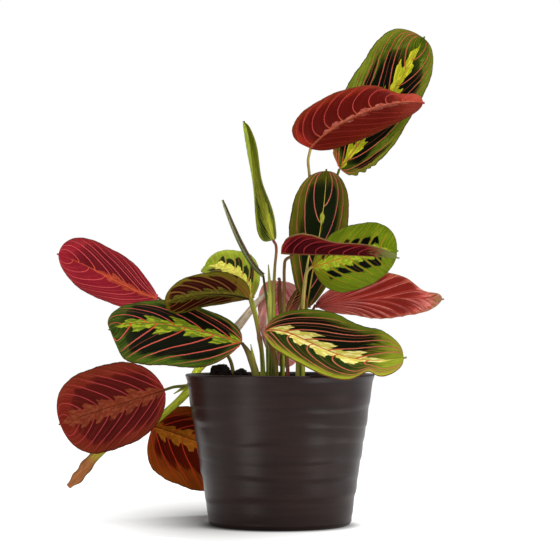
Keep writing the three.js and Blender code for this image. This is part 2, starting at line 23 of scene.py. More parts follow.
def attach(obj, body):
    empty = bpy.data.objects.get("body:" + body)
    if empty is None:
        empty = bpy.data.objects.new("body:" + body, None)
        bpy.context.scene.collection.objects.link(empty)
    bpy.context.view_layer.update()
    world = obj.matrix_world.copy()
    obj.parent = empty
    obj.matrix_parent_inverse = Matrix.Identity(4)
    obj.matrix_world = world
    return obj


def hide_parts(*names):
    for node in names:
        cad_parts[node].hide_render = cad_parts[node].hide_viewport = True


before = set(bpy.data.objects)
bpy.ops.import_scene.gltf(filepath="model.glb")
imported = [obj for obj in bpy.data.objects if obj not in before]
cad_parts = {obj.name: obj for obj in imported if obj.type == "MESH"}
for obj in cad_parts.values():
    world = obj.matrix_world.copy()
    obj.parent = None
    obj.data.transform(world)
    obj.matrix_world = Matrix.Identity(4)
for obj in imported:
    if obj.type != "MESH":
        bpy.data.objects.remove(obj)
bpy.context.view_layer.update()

LOG = logging.getLogger("prayer_plant")
MM = 0.001

Point = tuple[float, float, float]
StalkPoint = tuple[float, float, float, float]
Span = tuple[float, float]
Ends = tuple[float, float, float, float]
Socket = bpy.types.NodeSocket
Input = float | tuple[float, ...] | Socket


class Face(Enum):
    """The two faces of a blade, by the order of their materials."""

    UPPER = 0
    UNDER = 1


class Tint(Enum):
    """Colours of stalks and sheaths."""

    GREEN = "#8a9624"
    DEEP_GREEN = "#586818"
    OLIVE = "#766c24"
    BROWN = "#5a3c1c"
    WINE = "#6e2a24"
    UMBER = "#33220f"
    CREAM = "#c0c056"
    TAN = "#a08c46"
    LIME = "#b8c234"
    BEIGE = "#ecd8bc"
    DRY = "#8a542c"


def colour(code: str) -> tuple[float, float, float, float]:
    """Turns a colour code into linear red, green, blue and alpha.

    Args:
        code: "#rrggbb" as a screen shows it.

    Returns:
        The four linear numbers that a shader takes.
    """
    shown = [int(code[i : i + 2], 16) / 255 for i in (1, 3, 5)]
    red, green, blue = (
        s / 12.92 if s <= 0.04045 else ((s + 0.055) / 1.055) ** 2.4 for s in shown
    )
    return red, green, blue, 1.0


def eased(value: np.ndarray | float, low: float, high: float) -> np.ndarray:
    """Rises smoothly from 0 at low to 1 at high.

    Args:
        value: Where to read the rise.
        low: Where it starts.
        high: Where it ends; below low it falls instead.

    Returns:
        Values from 0 to 1.
    """
    share = np.clip((np.asarray(value, float) - low) / (high - low), 0.0, 1.0)
    return share * share * (3.0 - 2.0 * share)


class Shader:
    """One material and the nodes that colour it."""

    def __init__(self, name: str) -> None:
        """Starts a material with a plain glossy surface.

        Args:
            name: The material's name.
        """
        self.material = bpy.data.materials.new(name)
        self.material.use_nodes = True
        self.tree = self.material.node_tree
        self.tree.nodes.clear()
        self.surface = self.tree.nodes.new("ShaderNodeBsdfPrincipled")
        output = self.tree.nodes.new("ShaderNodeOutputMaterial")
        self.tree.links.new(self.surface.outputs[0], output.inputs["Surface"])

    def feed(self, socket: Socket, value: Input) -> None:
        """Links a socket or sets its constant.

        Args:
            socket: The socket that takes the value.
            value: Another node's socket, or a number or colour.
        """
        if isinstance(value, bpy.types.NodeSocket):
            self.tree.links.new(value, socket)
        else:
            socket.default_value = value

    def math(self, operation: str, *values: Input) -> Socket:
        """Adds a sum on numbers.

        Args:
            operation: The node's own name for the sum.
            values: Its one to three numbers or sockets.

        Returns:
            The result's socket.
        """
        node = self.tree.nodes.new("ShaderNodeMath")
        node.operation = operation
        for socket, value in zip(node.inputs, values):
            self.feed(socket, value)
        return node.outputs[0]

    def product(self, *values: Input) -> Socket:
        """Multiplies numbers.

        Args:
            values: Two or more numbers or sockets.

        Returns:
            The product's socket.
        """
        result = values[0]
        for value in values[1:]:
            result = self.math("MULTIPLY", result, value)
        return result

    def plus(self, one: Input, other: Input) -> Socket:
        """Adds two numbers."""
        return self.math("ADD", one, other)

    def minus(self, value: Input, taken: Input) -> Socket:
        """Takes one number from another."""
        return self.math("SUBTRACT", value, taken)

    def scaled(self, value: Input, factor: Input, offset: Input) -> Socket:
        """Multiplies a number by a factor and adds an offset."""
        return self.math("MULTIPLY_ADD", value, factor, offset)

    def rise(self, value: Input, low: Input, high: Input) -> Socket:
        """Rises smoothly from 0 to 1, or falls where low is above high.

        Args:
            value: What to read.
            low: Where the rise starts.
            high: Where it ends.

        Returns:
            The share's socket.
        """
        node = self.tree.nodes.new("ShaderNodeMapRange")
        node.interpolation_type = "SMOOTHSTEP"
        for name, given in (("Value", value), ("From Min", low), ("From Max", high)):
            self.feed(node.inputs[name], given)
        return node.outputs["Result"]

    def blend(self, share: Input, under: Input, over: Input) -> Socket:
        """Lays one colour over another.

        Args:
            share: How much of the upper colour shows, from 0 to 1.
            under: The lower colour.
            over: The upper colour.

        Returns:
            The mixed colour's socket.
        """
        node = self.tree.nodes.new("ShaderNodeMix")
        node.data_type = "RGBA"
        self.feed(node.inputs[0], share)
        self.feed(node.inputs[6], under)
        self.feed(node.inputs[7], over)
        return node.outputs[2]

    def shade(self, tone: Socket, strength: Socket) -> Socket:
        """Multiplies a colour by a number.

        Args:
            tone: The colour.
            strength: The number, about 1.

        Returns:
            The shaded colour's socket.
        """
        node = self.tree.nodes.new("ShaderNodeVectorMath")
        node.operation = "SCALE"
        self.feed(node.inputs[0], tone)
        self.feed(node.inputs["Scale"], strength)
        return node.outputs[0]

    def cloud(self, vector: Socket, scale: float, detail: float = 2.0) -> Socket:
        """Soft noise from about 0.2 to 0.8 round 0.5.

        Args:
            vector: The coordinates to read it at.
            scale: Spots for each unit of them.
            detail: Octaves of finer noise.

        Returns:
            The noise's socket.
        """
        node = self.tree.nodes.new("ShaderNodeTexNoise")
        self.feed(node.inputs["Vector"], vector)
        node.inputs["Scale"].default_value = scale
        node.inputs["Detail"].default_value = detail
        return node.outputs[0]

    def cells(self, vector: Socket, scale: float) -> Socket:
        """Distance to the nearest of many scattered points.

        Args:
            vector: The coordinates to read it at.
            scale: Points for each unit of them.

        Returns:
            The distance's socket.
        """
        node = self.tree.nodes.new("ShaderNodeTexVoronoi")
        self.feed(node.inputs["Vector"], vector)
        node.inputs["Scale"].default_value = scale
        return node.outputs["Distance"]

    def place(self) -> Socket:
        """Where a point is on the object, in metres."""
        return self.tree.nodes.new("ShaderNodeTexCoord").outputs["Object"]

    def stored(self, name: str, output: str = "Vector") -> Socket:
        """Reads what a piece's mesh stores under a name.

        Args:
            name: The attribute's name.
            output: Vector, Color or Fac.

        Returns:
            The attribute's socket.
        """
        node = self.tree.nodes.new("ShaderNodeAttribute")
        node.attribute_name = name
        return node.outputs[output]

    def split(self, vector: Socket) -> tuple[Socket, Socket, Socket]:
        """Takes a vector apart.

        Args:
            vector: The vector.

        Returns:
            Its three numbers.
        """
        node = self.tree.nodes.new("ShaderNodeSeparateXYZ")
        self.feed(node.inputs[0], vector)
        return node.outputs[0], node.outputs[1], node.outputs[2]

    def join(self, *values: Input) -> Socket:
        """Puts three numbers together.

        Args:
            values: The numbers.

        Returns:
            The vector.
        """
        node = self.tree.nodes.new("ShaderNodeCombineXYZ")
        for socket, value in zip(node.inputs, values):
            self.feed(socket, value)
        return node.outputs[0]

    def finish(
        self, tone: Input, roughness: Input, gloss: float, height: Socket | None = None
    ) -> None:
        """Connects the surface.

        Args:
            tone: The surface's colour.
            roughness: How dull it is.
            gloss: How strongly it mirrors, 0.5 being that of common plastic.
            height: Fine relief in millimetres, if it has any.
        """
        self.feed(self.surface.inputs["Base Color"], tone)
        self.feed(self.surface.inputs["Roughness"], roughness)
        self.surface.inputs["Specular IOR Level"].default_value = gloss
        if height is not None:
            bump = self.tree.nodes.new("ShaderNodeBump")
            bump.inputs["Distance"].default_value = MM
            self.feed(bump.inputs["Height"], height)
            self.tree.links.new(bump.outputs[0], self.surface.inputs["Normal"])


def set_down(
    name: str,
    mesh: bmesh.types.BMesh,
    materials: Sequence[bpy.types.Material],
    node: str,
) -> bpy.types.Object:
    """Makes a finished piece of a mesh and lets it ride on the plant's one body.

    Args:
        name: The piece's name.
        mesh: Its faces, in place, in metres.
        materials: Its finishes, by material index.
        node: The solid that it replaces.

    Returns:
        The piece.
    """
    data = bpy.data.meshes.new(name)
    mesh.to_mesh(data)
    mesh.free()
    data.shade_smooth()
    for material in materials:
        data.materials.append(material)
    piece = bpy.data.objects.new(name, data)
    bpy.context.scene.collection.objects.link(piece)
    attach(piece, "root")
    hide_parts(node)
    LOG.info("%s: %d faces for %s", name, len(data.polygons), node)
    return piece


@dataclass(frozen=True)
class Spot:
    """Where a point lies among the veins of its leaf, as sockets of its material.

    Along runs from base to tip, across from midrib to margin and share from one vein to
    the next. Start is where along the midrib a vein through the point leaves it.
    Distances to the midrib, the nearest vein and the middle between two veins are in
    millimetres. Chance is one random number for each space between two veins.
    """

    along: Socket
    across: Socket
    rib: Socket
    is_left: Socket
    start: Socket
    share: Socket
    between: Socket
    to_vein: Socket
    to_middle: Socket
    jagged: Socket
    lines: Socket
    dots: Socket
    chance: Socket


@dataclass(frozen=True)
class BladeFace:
    """The colours and markings of one face of a leaf.

    Reaches are shares of the half width, from 0 at the midrib to 1 at the margin. Ends
    are where along the blade a marking appears, is full, starts to fade and is gone.
    Pairs for the halves are factors, the left half's first. The tip has a colour of its
    own, which starts and is full at the places of tip span. Vein and midrib sizes are
    millimetres.
    """

    ground: str = "#2a3a10"
    margin: str = "#46561a"
    margin_from: float = 0.6
    margin_halves: Span = (1.0, 1.0)
    tip: str = "#7c8420"
    tip_share: float = 0.0
    tip_span: Span = (0.7, 0.95)
    streak: str = "#5c6f22"
    streaks: float = 0.45
    dash: str = "#8c9c48"
    dashes: float = 0.12
    # Painted shade: factors on the whole tone of each half, for how the light falls on
    # it.
    painted_half_shade: Span = (1.0, 1.0)
    blotch: str = "#080b04"
    blotch_inner: float = 0.0
    blotch_outer: float = 0.66
    blotch_fade: float = 0.16
    blotch_clear: float = 0.4
    blotch_uneven: float = 0.12
    blotch_ends: Ends = (0.0, 0.14, 0.72, 0.95)
    blotch_halves: Span = (1.0, 1.0)
    band: str = "#7f9330"
    band_deep: str = "#5f7620"
    band_core: float = 0.06
    band_lobe: float = 0.16
    band_peak: float = 0.55
    band_ends: Ends = (-0.1, 0.08, 0.75, 0.97)
    band_strength: float = 1.0
    vein: str = "#a8483e"
    vein_root: str = "#9a4a26"
    vein_half: float = 0.55
    vein_reach: float = 0.95
    vein_halves: Span = (1.0, 1.0)
    fine_veins: float = 0.35
    midrib: str = "#8a4426"
    midrib_half: float = 0.6
    midrib_ends: Span = (0.82, 0.96)
    edge: str = "#26230c"
    edge_from: float = 0.968
    roughness: float = 0.42
    gloss: float = 0.015
    groove: float = 0.12

    # Spots of noise for each metre.
    PATCHES = 55.0
    DULL_SPOTS = 260.0
    PORES = 1500.0
    # Noise drawn out along the veins: spots from vein to vein, spots from midrib to
    # margin, and octaves.
    JAGS = (3.4, 14.0, 3.0)
    LINES = (11.0, 1.4, 3.0)
    DOTS = (17.0, 16.0, 1.0)
    # How far the jags move the start of the tip's colour and of a panel, a panel's outer
    # end, and the band's edge.
    JAG = 0.3
    BLOTCH_JAG = 0.18
    BAND_JAG = 0.1
    # Where a line fades, as shares of its half width, and how much it narrows.
    VEIN_SOFT = (1.35, 0.55)
    VEIN_TAPER = 0.5
    MIDRIB_SOFT = (1.25, 0.6)
    MIDRIB_TAPER = 0.75
    # Where across the blade a vein takes on its own colour, where along it the veins
    # stop, and where the last of them leave the midrib.
    ROOT_SPAN = (0.08, 0.3)
    VEIN_STOP = (0.985, 0.955)
    LAST_START = (0.92, 0.84)
    # Millimetres from a fine vein's middle where it is gone and where it is full.
    FINE_SOFT = (0.3, 0.08)
    # How round a panel's outer end is, and how soft its inner end and a lobe's edge are.
    PANEL_ROUND = 0.2
    PANEL_SOFT = 0.02
    LOBE_SOFT = 0.012
    # Teeth on a lobe: their shift and pitch from vein to vein, and their height.
    TOOTH_SHIFT = 0.06
    TOOTH_PITCH = 0.15
    TOOTH_HEIGHT = 2.2
    EDGE_SOFT = 0.02
    EDGE_SHARE = 0.8
    DULLNESS = 0.16
    # Keeps the left half's noise apart from the right half's.
    LEFT_SEED = 3.7

    def dress(self, name: str, stagger: float, seed: float) -> bpy.types.Material:
        """Makes the material of one face.

        Args:
            name: The material's name.
            stagger: How far the left half's veins lie ahead of the right half's, as a
                share of the distance between veins.
            seed: A number that makes this leaf's noise its own.

        Returns:
            The material.
        """
        shader = Shader(name)
        spot = self.survey(shader, stagger, seed)
        place = shader.place()
        patches = shader.cloud(place, self.PATCHES)
        pores = shader.cells(place, self.PORES)
        vein = self.vein_share(shader, spot)
        midrib = self.midrib_share(shader, spot)

        tone = self.paint_ground(shader, spot, patches)
        tone = shader.blend(self.blotch_share(shader, spot), tone, colour(self.blotch))
        near_tip = shader.rise(
            shader.scaled(spot.jagged, self.JAG, spot.along), *self.tip_span
        )
        near_tip = shader.product(near_tip, self.tip_share)
        tone = shader.blend(near_tip, tone, colour(self.tip))
        deep = shader.rise(spot.jagged, -0.02, 0.1)
        inner = shader.blend(deep, colour(self.band_deep), colour(self.band))
        band = shader.product(self.band_share(shader, spot), self.band_strength)
        tone = shader.blend(band, tone, inner)
        away = shader.rise(spot.across, *self.ROOT_SPAN)
        line = shader.blend(away, colour(self.vein_root), colour(self.vein))
        tone = shader.blend(vein, tone, line)
        tone = shader.blend(midrib, tone, colour(self.midrib))
        rim = shader.rise(spot.across, self.edge_from, self.edge_from + self.EDGE_SOFT)
        tone = shader.blend(shader.product(rim, self.EDGE_SHARE), tone, colour(self.edge))
        # The half factor in this strength is painted shade on one half.
        strength = shader.product(
            self.by_half(shader, spot, self.painted_half_shade),
            shader.plus(
                shader.product(patches, 0.5), shader.scaled(spot.lines, 0.5, 0.5)
            ),
        )
        tone = shader.shade(tone, strength)

        roughness = shader.plus(
            shader.product(shader.cloud(place, self.DULL_SPOTS), self.DULLNESS),
            self.roughness - 0.5 * self.DULLNESS,
        )
        height = shader.plus(
            shader.product(shader.math("MAXIMUM", vein, midrib), -self.groove),
            shader.plus(shader.product(spot.lines, 0.2), shader.product(pores, 0.05)),
        )
        shader.finish(tone, roughness, self.gloss, height)
        return shader.material

    def survey(self, shader: Shader, stagger: float, seed: float) -> Spot:
        """Reads where a point lies among the veins of its leaf.

        Args:
            shader: The face's material.
            stagger: How far the left half's veins lie ahead of the right half's.
            seed: A number that makes this leaf's noise its own.

        Returns:
            The point's place and the noises that the markings share.
        """
        along, side, rib = shader.split(shader.stored("blade"))
        phase, gap, start = shader.split(shader.stored("veins"))
        across = shader.math("ABSOLUTE", side)
        is_left = shader.math("LESS_THAN", side, 0.0)
        phase = shader.scaled(is_left, stagger, phase)
        share = shader.math("FRACT", phase)
        off_centre = shader.math("ABSOLUTE", shader.minus(share, 0.5))
        own = shader.scaled(is_left, self.LEFT_SEED, seed)
        chance = shader.tree.nodes.new("ShaderNodeTexWhiteNoise")
        shader.feed(
            chance.inputs["Vector"], shader.join(shader.math("FLOOR", phase), own, 0.5)
        )

        def drawn(by_phase: float, by_reach: float, detail: float) -> Socket:
            """Makes noise that is stretched along the veins.

            Args:
                by_phase: How fine it is from one vein to the next.
                by_reach: How fine it is from the midrib to the margin.
                detail: How many finer layers are added.

            Returns:
                The noise from 0 to 1.
            """
            across_veins = shader.product(phase, by_phase)
            where = shader.join(across_veins, shader.product(across, by_reach), own)
            return shader.cloud(where, 1.0, detail)

        return Spot(
            along=along,
            across=across,
            rib=rib,
            is_left=is_left,
            start=start,
            share=share,
            between=shader.math("SINE", shader.product(share, math.pi)),
            to_vein=shader.product(shader.minus(0.5, off_centre), gap),
            to_middle=shader.product(off_centre, gap),
            jagged=shader.minus(drawn(*self.JAGS), 0.5),
            lines=drawn(*self.LINES),
            dots=drawn(*self.DOTS),
            chance=chance.outputs["Value"],
        )

    def by_half(self, shader: Shader, spot: Spot, halves: Span) -> Socket:
        """Picks the left or the right half's number."""
        left, right = halves
        return shader.scaled(spot.is_left, left - right, right)

    def within(self, shader: Shader, spot: Spot, ends: Ends) -> Socket:
        """Where along the blade a marking shows.

        Args:
            shader: The face's material.
            spot: Where the point lies.
            ends: Where the marking appears, is full, starts to fade and is gone.

        Returns:
            The share from 0 to 1.
        """
        start, full, fade, gone = ends
        begun = shader.rise(spot.along, start, full)
        return shader.product(begun, shader.rise(spot.along, gone, fade))

    def soft_line(
        self, shader: Shader, distance: Socket, width: Socket, soft: Span
    ) -> Socket:
        """Draws a line with soft sides.

        Args:
            shader: The face's material.
            distance: Millimetres to the line's middle.
            width: Its half width in millimetres.
            soft: Where it is gone and where it is full, as shares of the half width.

        Returns:
            The share from 0 to 1.
        """
        gone, full = soft
        return shader.rise(
            distance, shader.product(width, gone), shader.product(width, full)
        )

    def paint_ground(self, shader: Shader, spot: Spot, patches: Socket) -> Socket:
        """Colours the blade under its markings: ground, margin, streaks and dashes.

        Args:
            shader: The face's material.
            spot: Where the point lies.
            patches: Broad noise.

        Returns:
            The colour.
        """
        outside = shader.rise(
            shader.scaled(patches, 0.3, spot.across), self.margin_from + 0.15, 1.15
        )
        outside = shader.product(outside, self.by_half(shader, spot, self.margin_halves))
        tone = shader.blend(outside, colour(self.ground), colour(self.margin))
        streaks = shader.product(shader.rise(spot.lines, 0.46, 0.66), self.streaks)
        tone = shader.blend(streaks, tone, colour(self.streak))
        dashes = shader.product(
            shader.rise(spot.dots, 0.54, 0.66),
            shader.rise(spot.lines, 0.4, 0.6),
            shader.rise(spot.across, 0.15, 0.45),
            self.dashes,
        )
        return shader.blend(dashes, tone, colour(self.dash))

    def blotch_share(self, shader: Shader, spot: Spot) -> Socket:
        """Where the dark panels between the veins show.

        Args:
            shader: The face's material.
            spot: Where the point lies.

        Returns:
            The share from 0 to 1.
        """
        ends = self.within(shader, spot, self.blotch_ends)
        outer = shader.scaled(
            spot.chance, self.blotch_uneven, self.blotch_outer - 0.5 * self.blotch_uneven
        )
        rounding = shader.scaled(spot.between, self.PANEL_ROUND, 1.0 - self.PANEL_ROUND)
        reach = shader.plus(
            shader.product(ends, outer, rounding),
            shader.plus(
                shader.product(spot.jagged, self.BLOTCH_JAG),
                shader.product(shader.minus(spot.lines, 0.5), 2.0 * self.blotch_fade),
            ),
        )
        inside = shader.rise(
            shader.minus(reach, spot.across), -0.5 * self.blotch_fade, 0.03
        )
        clear = shader.rise(spot.to_vein, 0.3 * self.blotch_clear, self.blotch_clear)
        begun = shader.rise(
            shader.scaled(spot.jagged, self.JAG, spot.across),
            self.blotch_inner - self.PANEL_SOFT,
            self.blotch_inner + self.PANEL_SOFT,
        )
        half = self.by_half(shader, spot, self.blotch_halves)
        return shader.product(inside, clear, begun, ends, half)

    def band_share(self, shader: Shader, spot: Spot) -> Socket:
        """Where the band of pointed lobes along the midrib shows.

        Args:
            shader: The face's material.
            spot: Where the point lies.

        Returns:
            The share from 0 to 1.
        """
        lobe = shader.math(
            "MINIMUM",
            shader.product(spot.share, 1.0 / self.band_peak),
            shader.product(shader.minus(1.0, spot.share), 1.0 / (1.0 - self.band_peak)),
        )
        tooth = shader.math(
            "PINGPONG", shader.plus(spot.share, self.TOOTH_SHIFT), self.TOOTH_PITCH
        )
        size = shader.scaled(spot.chance, 0.6 * self.band_lobe, 0.7 * self.band_lobe)
        toothed = shader.scaled(
            tooth, self.TOOTH_HEIGHT, shader.math("POWER", lobe, 0.8)
        )
        reach = shader.product(
            self.within(shader, spot, self.band_ends),
            shader.plus(
                shader.scaled(toothed, size, self.band_core),
                shader.product(spot.jagged, self.BAND_JAG),
            ),
        )
        inside = shader.minus(reach, spot.across)
        return shader.rise(inside, -self.LOBE_SOFT, self.LOBE_SOFT)

    def vein_share(self, shader: Shader, spot: Spot) -> Socket:
        """Where the side veins show: thinner and fainter towards the margin.

        Args:
            shader: The face's material.
            spot: Where the point lies.

        Returns:
            The share from 0 to 1.
        """
        width = shader.scaled(
            spot.across, -self.VEIN_TAPER * self.vein_half, self.vein_half
        )
        line = self.soft_line(shader, spot.to_vein, width, self.VEIN_SOFT)
        fading = shader.rise(spot.across, self.vein_reach + 0.08, self.vein_reach - 0.25)
        fine = shader.product(
            shader.rise(spot.to_middle, *self.FINE_SOFT),
            shader.rise(spot.chance, 0.4, 0.6),
            shader.rise(spot.across, 0.1, 0.3),
            self.fine_veins,
        )
        short = shader.product(
            shader.rise(spot.along, *self.VEIN_STOP),
            shader.rise(spot.start, *self.LAST_START),
        )
        half = self.by_half(shader, spot, self.vein_halves)
        return shader.product(shader.math("MAXIMUM", line, fine), fading, short, half)

    def midrib_share(self, shader: Shader, spot: Spot) -> Socket:
        """Where the midrib shows: thinner towards the tip.

        Args:
            shader: The face's material.
            spot: Where the point lies.

        Returns:
            The share from 0 to 1.
        """
        width = shader.scaled(
            spot.along, -self.MIDRIB_TAPER * self.midrib_half, self.midrib_half
        )
        start, gone = self.midrib_ends
        return shader.product(
            self.soft_line(shader, spot.rib, width, self.MIDRIB_SOFT),
            shader.rise(spot.along, gone, start),
        )


LEAF_SHOWY = BladeFace(
    ground="#334009", margin="#566016", streak="#647216", dash="#93a040", dashes=0.4,
    blotch_uneven=0.4, band="#b0a828", band_deep="#8a8c18", band_core=0.0, band_lobe=0.2,
    vein="#a84c3c", vein_half=0.42, midrib="#94602a", midrib_half=0.5,
)
LEAF_DARK_PANELS = BladeFace(
    ground="#1f2e08", margin="#2f3f0c", streak="#43560f", streaks=0.6, blotch="#070a02",
    blotch_outer=0.8, blotch_fade=0.2, band="#7f8a1c", band_deep="#4f5e10",
    band_core=0.02, band_lobe=0.22, vein="#a8483c", vein_root="#a03c1e",
)
LEAF_CREAM_BAND = BladeFace(
    ground="#26380a", margin="#87901e", margin_from=0.62, margin_halves=(0.3, 1.0),
    tip="#98a028", tip_share=0.65, tip_span=(0.72, 1.0), streak="#54651c",
    # Painted shade darkens the left half.
    painted_half_shade=(0.74, 1.0), blotch="#0a0e03", blotch_outer=0.78, blotch_fade=0.2,
    blotch_ends=(0.0, 0.12, 0.8, 0.97), blotch_halves=(1.0, 0.55), band="#d6cc80",
    band_deep="#b4a848", band_core=0.03, band_lobe=0.2, vein="#b05c46",
    vein_root="#ac3a24", midrib="#a84a30", midrib_half=0.7,
)
LEAF_OLIVE = BladeFace(
    ground="#3a3a08", margin="#4c4a0c", streak="#5c581a", streaks=0.3, blotch="#0f1606",
    blotch_outer=0.56, blotch_fade=0.3, blotch_clear=0.2,
    blotch_ends=(0.0, 0.1, 0.85, 0.98), band="#8f9630", band_core=0.0, band_lobe=0.1,
    band_ends=(0.59, 0.63, 0.66, 0.71), vein="#a5504a", vein_root="#b06a4a",
    vein_half=0.42, fine_veins=0.0, midrib="#a8903c", midrib_ends=(0.9, 0.98),
)
LEAF_BLOTCHED = BladeFace(
    ground="#4a5c08", margin="#465208", streak="#6c7c18", streaks=0.4, dash="#909a30",
    dashes=0.25, blotch="#030402", blotch_inner=0.24, blotch_outer=0.54, blotch_fade=0.04,
    blotch_clear=1.3, blotch_uneven=0.1, blotch_ends=(0.14, 0.16, 0.8, 0.82),
    band="#8a9424", band_deep="#6a7a14", band_core=0.1, band_lobe=0.14, vein="#90501c",
    vein_root="#97501e", vein_half=0.3, vein_reach=0.8, fine_veins=0.2, midrib="#92581c",
    midrib_half=0.45, edge="#31420e",
)
LEAF_LIME = BladeFace(
    ground="#6f8018", margin="#88922a", streak="#98a03a", streaks=0.4, blotch="#182006",
    blotch_inner=0.2, blotch_outer=0.64, blotch_fade=0.06, blotch_clear=0.8,
    blotch_uneven=0.3, blotch_ends=(0.18, 0.22, 0.8, 0.86), band="#c8c058",
    band_deep="#a8a83c", band_core=0.1, band_lobe=0.2, vein="#a8583a",
    vein_root="#b0683a", vein_half=0.32, vein_reach=0.8, midrib="#b8924a",
    midrib_half=0.5, edge="#5c6a1c",
)
RED_UNDERSIDE = BladeFace(
    ground="#6c1610", margin="#64220f", streak="#8a2a1c", streaks=0.5, dash="#b05a40",
    dashes=0.1, blotch="#48090a", blotch_outer=0.75, blotch_fade=0.3, band="#8a3c22",
    band_deep="#6a2a1a", band_strength=0.7, vein="#a03c34", vein_root="#984028",
    vein_half=0.5, midrib="#8f4630", midrib_half=0.8, edge="#5c3a1e", groove=-0.16,
)
CRIMSON_UNDERSIDE = replace(
    RED_UNDERSIDE, ground="#7a1522", margin="#701c20", streak="#8c2028", blotch="#560f16",
    blotch_outer=0.85, blotch_fade=0.2, blotch_halves=(1.0, 0.25), band="#a04428",
    band_deep="#8c3222", band_core=0.04, band_lobe=0.12, band_ends=(0.0, 0.1, 0.45, 0.7),
    band_strength=0.9, vein="#b84848", vein_root="#b04430", vein_half=0.38,
    midrib="#b0482c", midrib_half=0.6, edge="#3c1410",
)
WINE_UNDERSIDE = replace(
    RED_UNDERSIDE, ground="#641c12", margin="#5e2412", streak="#74261e", blotch="#48120e",
    blotch_outer=0.72, blotch_fade=0.14, band="#7c3c26", band_deep="#6c2c1a",
    band_core=0.08, band_lobe=0.17, band_ends=(-0.3, -0.1, 0.86, 0.99), band_strength=1.0,
    vein="#983438", vein_root="#7c3020", vein_half=0.45, fine_veins=0.2, midrib="#4f2110",
    midrib_half=0.4, edge="#2c0c08",
)
RUST_UNDERSIDE = replace(
    WINE_UNDERSIDE, ground="#74300c", margin="#7a380c", streak="#944a10",
    blotch="#4c1206", blotch_outer=0.62, band="#a8641e", band_deep="#985414",
    vein="#b8301c", vein_root="#b04418", vein_half=0.5, midrib="#5c2408", edge="#3c200a",
)
MAROON_UNDERSIDE = replace(
    RED_UNDERSIDE, ground="#560c0e", margin="#4c100e", tip="#5c6634", tip_share=0.92,
    tip_span=(0.78, 0.92), streak="#7a1816", blotch="#300508", band_strength=0.0,
    vein="#7a2428", vein_root="#6a1a1c", midrib="#5a3a20", edge="#6a5a34", edge_from=0.94,
)
SALMON_UNDERSIDE = replace(
    RED_UNDERSIDE, ground="#94342c", margin="#94462a", tip="#6e6a44", tip_share=0.7,
    # The pale dashes here are painted highlights along the pleats; the pink face below
    # keeps them.
    tip_span=(0.86, 1.0), streak="#c4726a", streaks=0.9, dash="#d89a8c", dashes=0.55,
    blotch="#6e1c14", blotch_outer=0.9, blotch_fade=0.4, blotch_clear=1.4,
    band_strength=0.0, vein="#62201c", vein_root="#7a2a24", vein_half=0.3, fine_veins=0.0,
    midrib="#8c362c", midrib_half=0.7, edge="#5a4a26",
)
PINK_UNDERSIDE = replace(
    SALMON_UNDERSIDE, ground="#f08c88", margin="#e48478", tip_share=0.0, streak="#fbe4dc",
    blotch="#d06870", blotch_outer=0.5, vein="#ec9c94", edge="#8a3a34",
)
MOTTLED_UNDERSIDE = replace(
    WINE_UNDERSIDE, ground="#4c3c0c", margin="#444208", streak="#6a5c1a",
    blotch="#260804", blotch_inner=0.1, blotch_outer=0.8, blotch_fade=0.08,
    blotch_clear=0.8, blotch_uneven=0.35, blotch_ends=(0.14, 0.2, 0.9, 0.98),
    band="#5c5618", band_deep="#3c3c10", band_strength=0.7, vein="#6e3a26",
    vein_root="#5a4a1a", vein_half=0.35, midrib="#241c08", midrib_half=0.5,
    edge="#2c2c0c",
)
GREEN_UNDERSIDE = replace(
    RED_UNDERSIDE, ground="#76852a", margin="#6c7c20", streak="#a0a850", streaks=0.6,
    dash="#a8b058", blotch="#5c7018", blotch_outer=0.5, blotch_fade=0.4,
    band_strength=0.0, vein="#8c9a3c", vein_root="#98a048", vein_half=0.3,
    midrib="#9aa44c", edge="#5a4a1c",
)
LEAF_ROLLED = replace(
    LEAF_LIME, ground="#808c1c", margin="#7a8a1c", streak="#b0b048", blotch="#0e1a05",
    blotch_inner=0.08, blotch_outer=0.7, blotch_clear=0.3, blotch_uneven=0.2,
    blotch_ends=(0.0, 0.04, 0.5, 0.6), band="#b4b838", band_deep="#98a030",
    vein="#8a9440", vein_root="#a8a040", vein_half=0.35, midrib="#c4b850", edge="#4a5a1c",
)
PALE_INSIDE = replace(
    LEAF_LIME, ground="#a8988c", margin="#8c8c70", streak="#c0a89c", streaks=0.8,
    blotch="#7c7c62", band_strength=0.0, vein="#9a7a6c", midrib="#7a7a58", edge="#3a2018",
)
TWISTED_UNDERSIDE = replace(
    GREEN_UNDERSIDE, ground="#8c9468", margin="#6e7a48", streak="#b8b49a",
    blotch="#2c3818", vein="#4a5230", edge="#3c3018",
)


@dataclass(frozen=True)
class HalfBlade:
    """One half of a leaf, from its midrib to its margin.

    Width is in millimetres and peak is where along the midrib it is widest. Blunt rounds
    the outline towards base and tip, fold is the angle at the midrib and curl the further
    bend to the margin, each from base to tip in degrees, and sweep moves the margin
    towards the tip. Pinch narrows the half: where, by which share and over what span.
    """

    width: float
    peak: float
    blunt: Span
    fold: Span = (5, 5)
    curl: Span = (10, 10)
    sweep: float = 0.0
    pinch: Point = (0.5, 0.0, 0.1)

    # Where the rounded outline ends, as a share of the length.
    BODY = 0.985

    def outline(self, along: np.ndarray) -> np.ndarray:
        """Share of the width at places along the midrib.

        Args:
            along: Places from 0 at the base to 1 at the tip.

        Returns:
            Shares from 0 to 1, rounded, with a short point at the tip.
        """
        body = np.clip(along / self.BODY, 0.0, 1.0)
        even = body ** (math.log(0.5) / math.log(self.peak / self.BODY))
        power = np.where(even < 0.5, self.blunt[0], self.blunt[1])
        rounded = np.sqrt(np.maximum(0.0, 1.0 - np.abs(2.0 * even - 1.0) ** power))
        place, depth, span = self.pinch
        narrow = 1.0 - depth * np.exp(-(((along - place) / span) ** 2))
        return np.maximum(rounded * narrow, np.clip(1.5 * (1.0 - along), 0.0, 0.12))


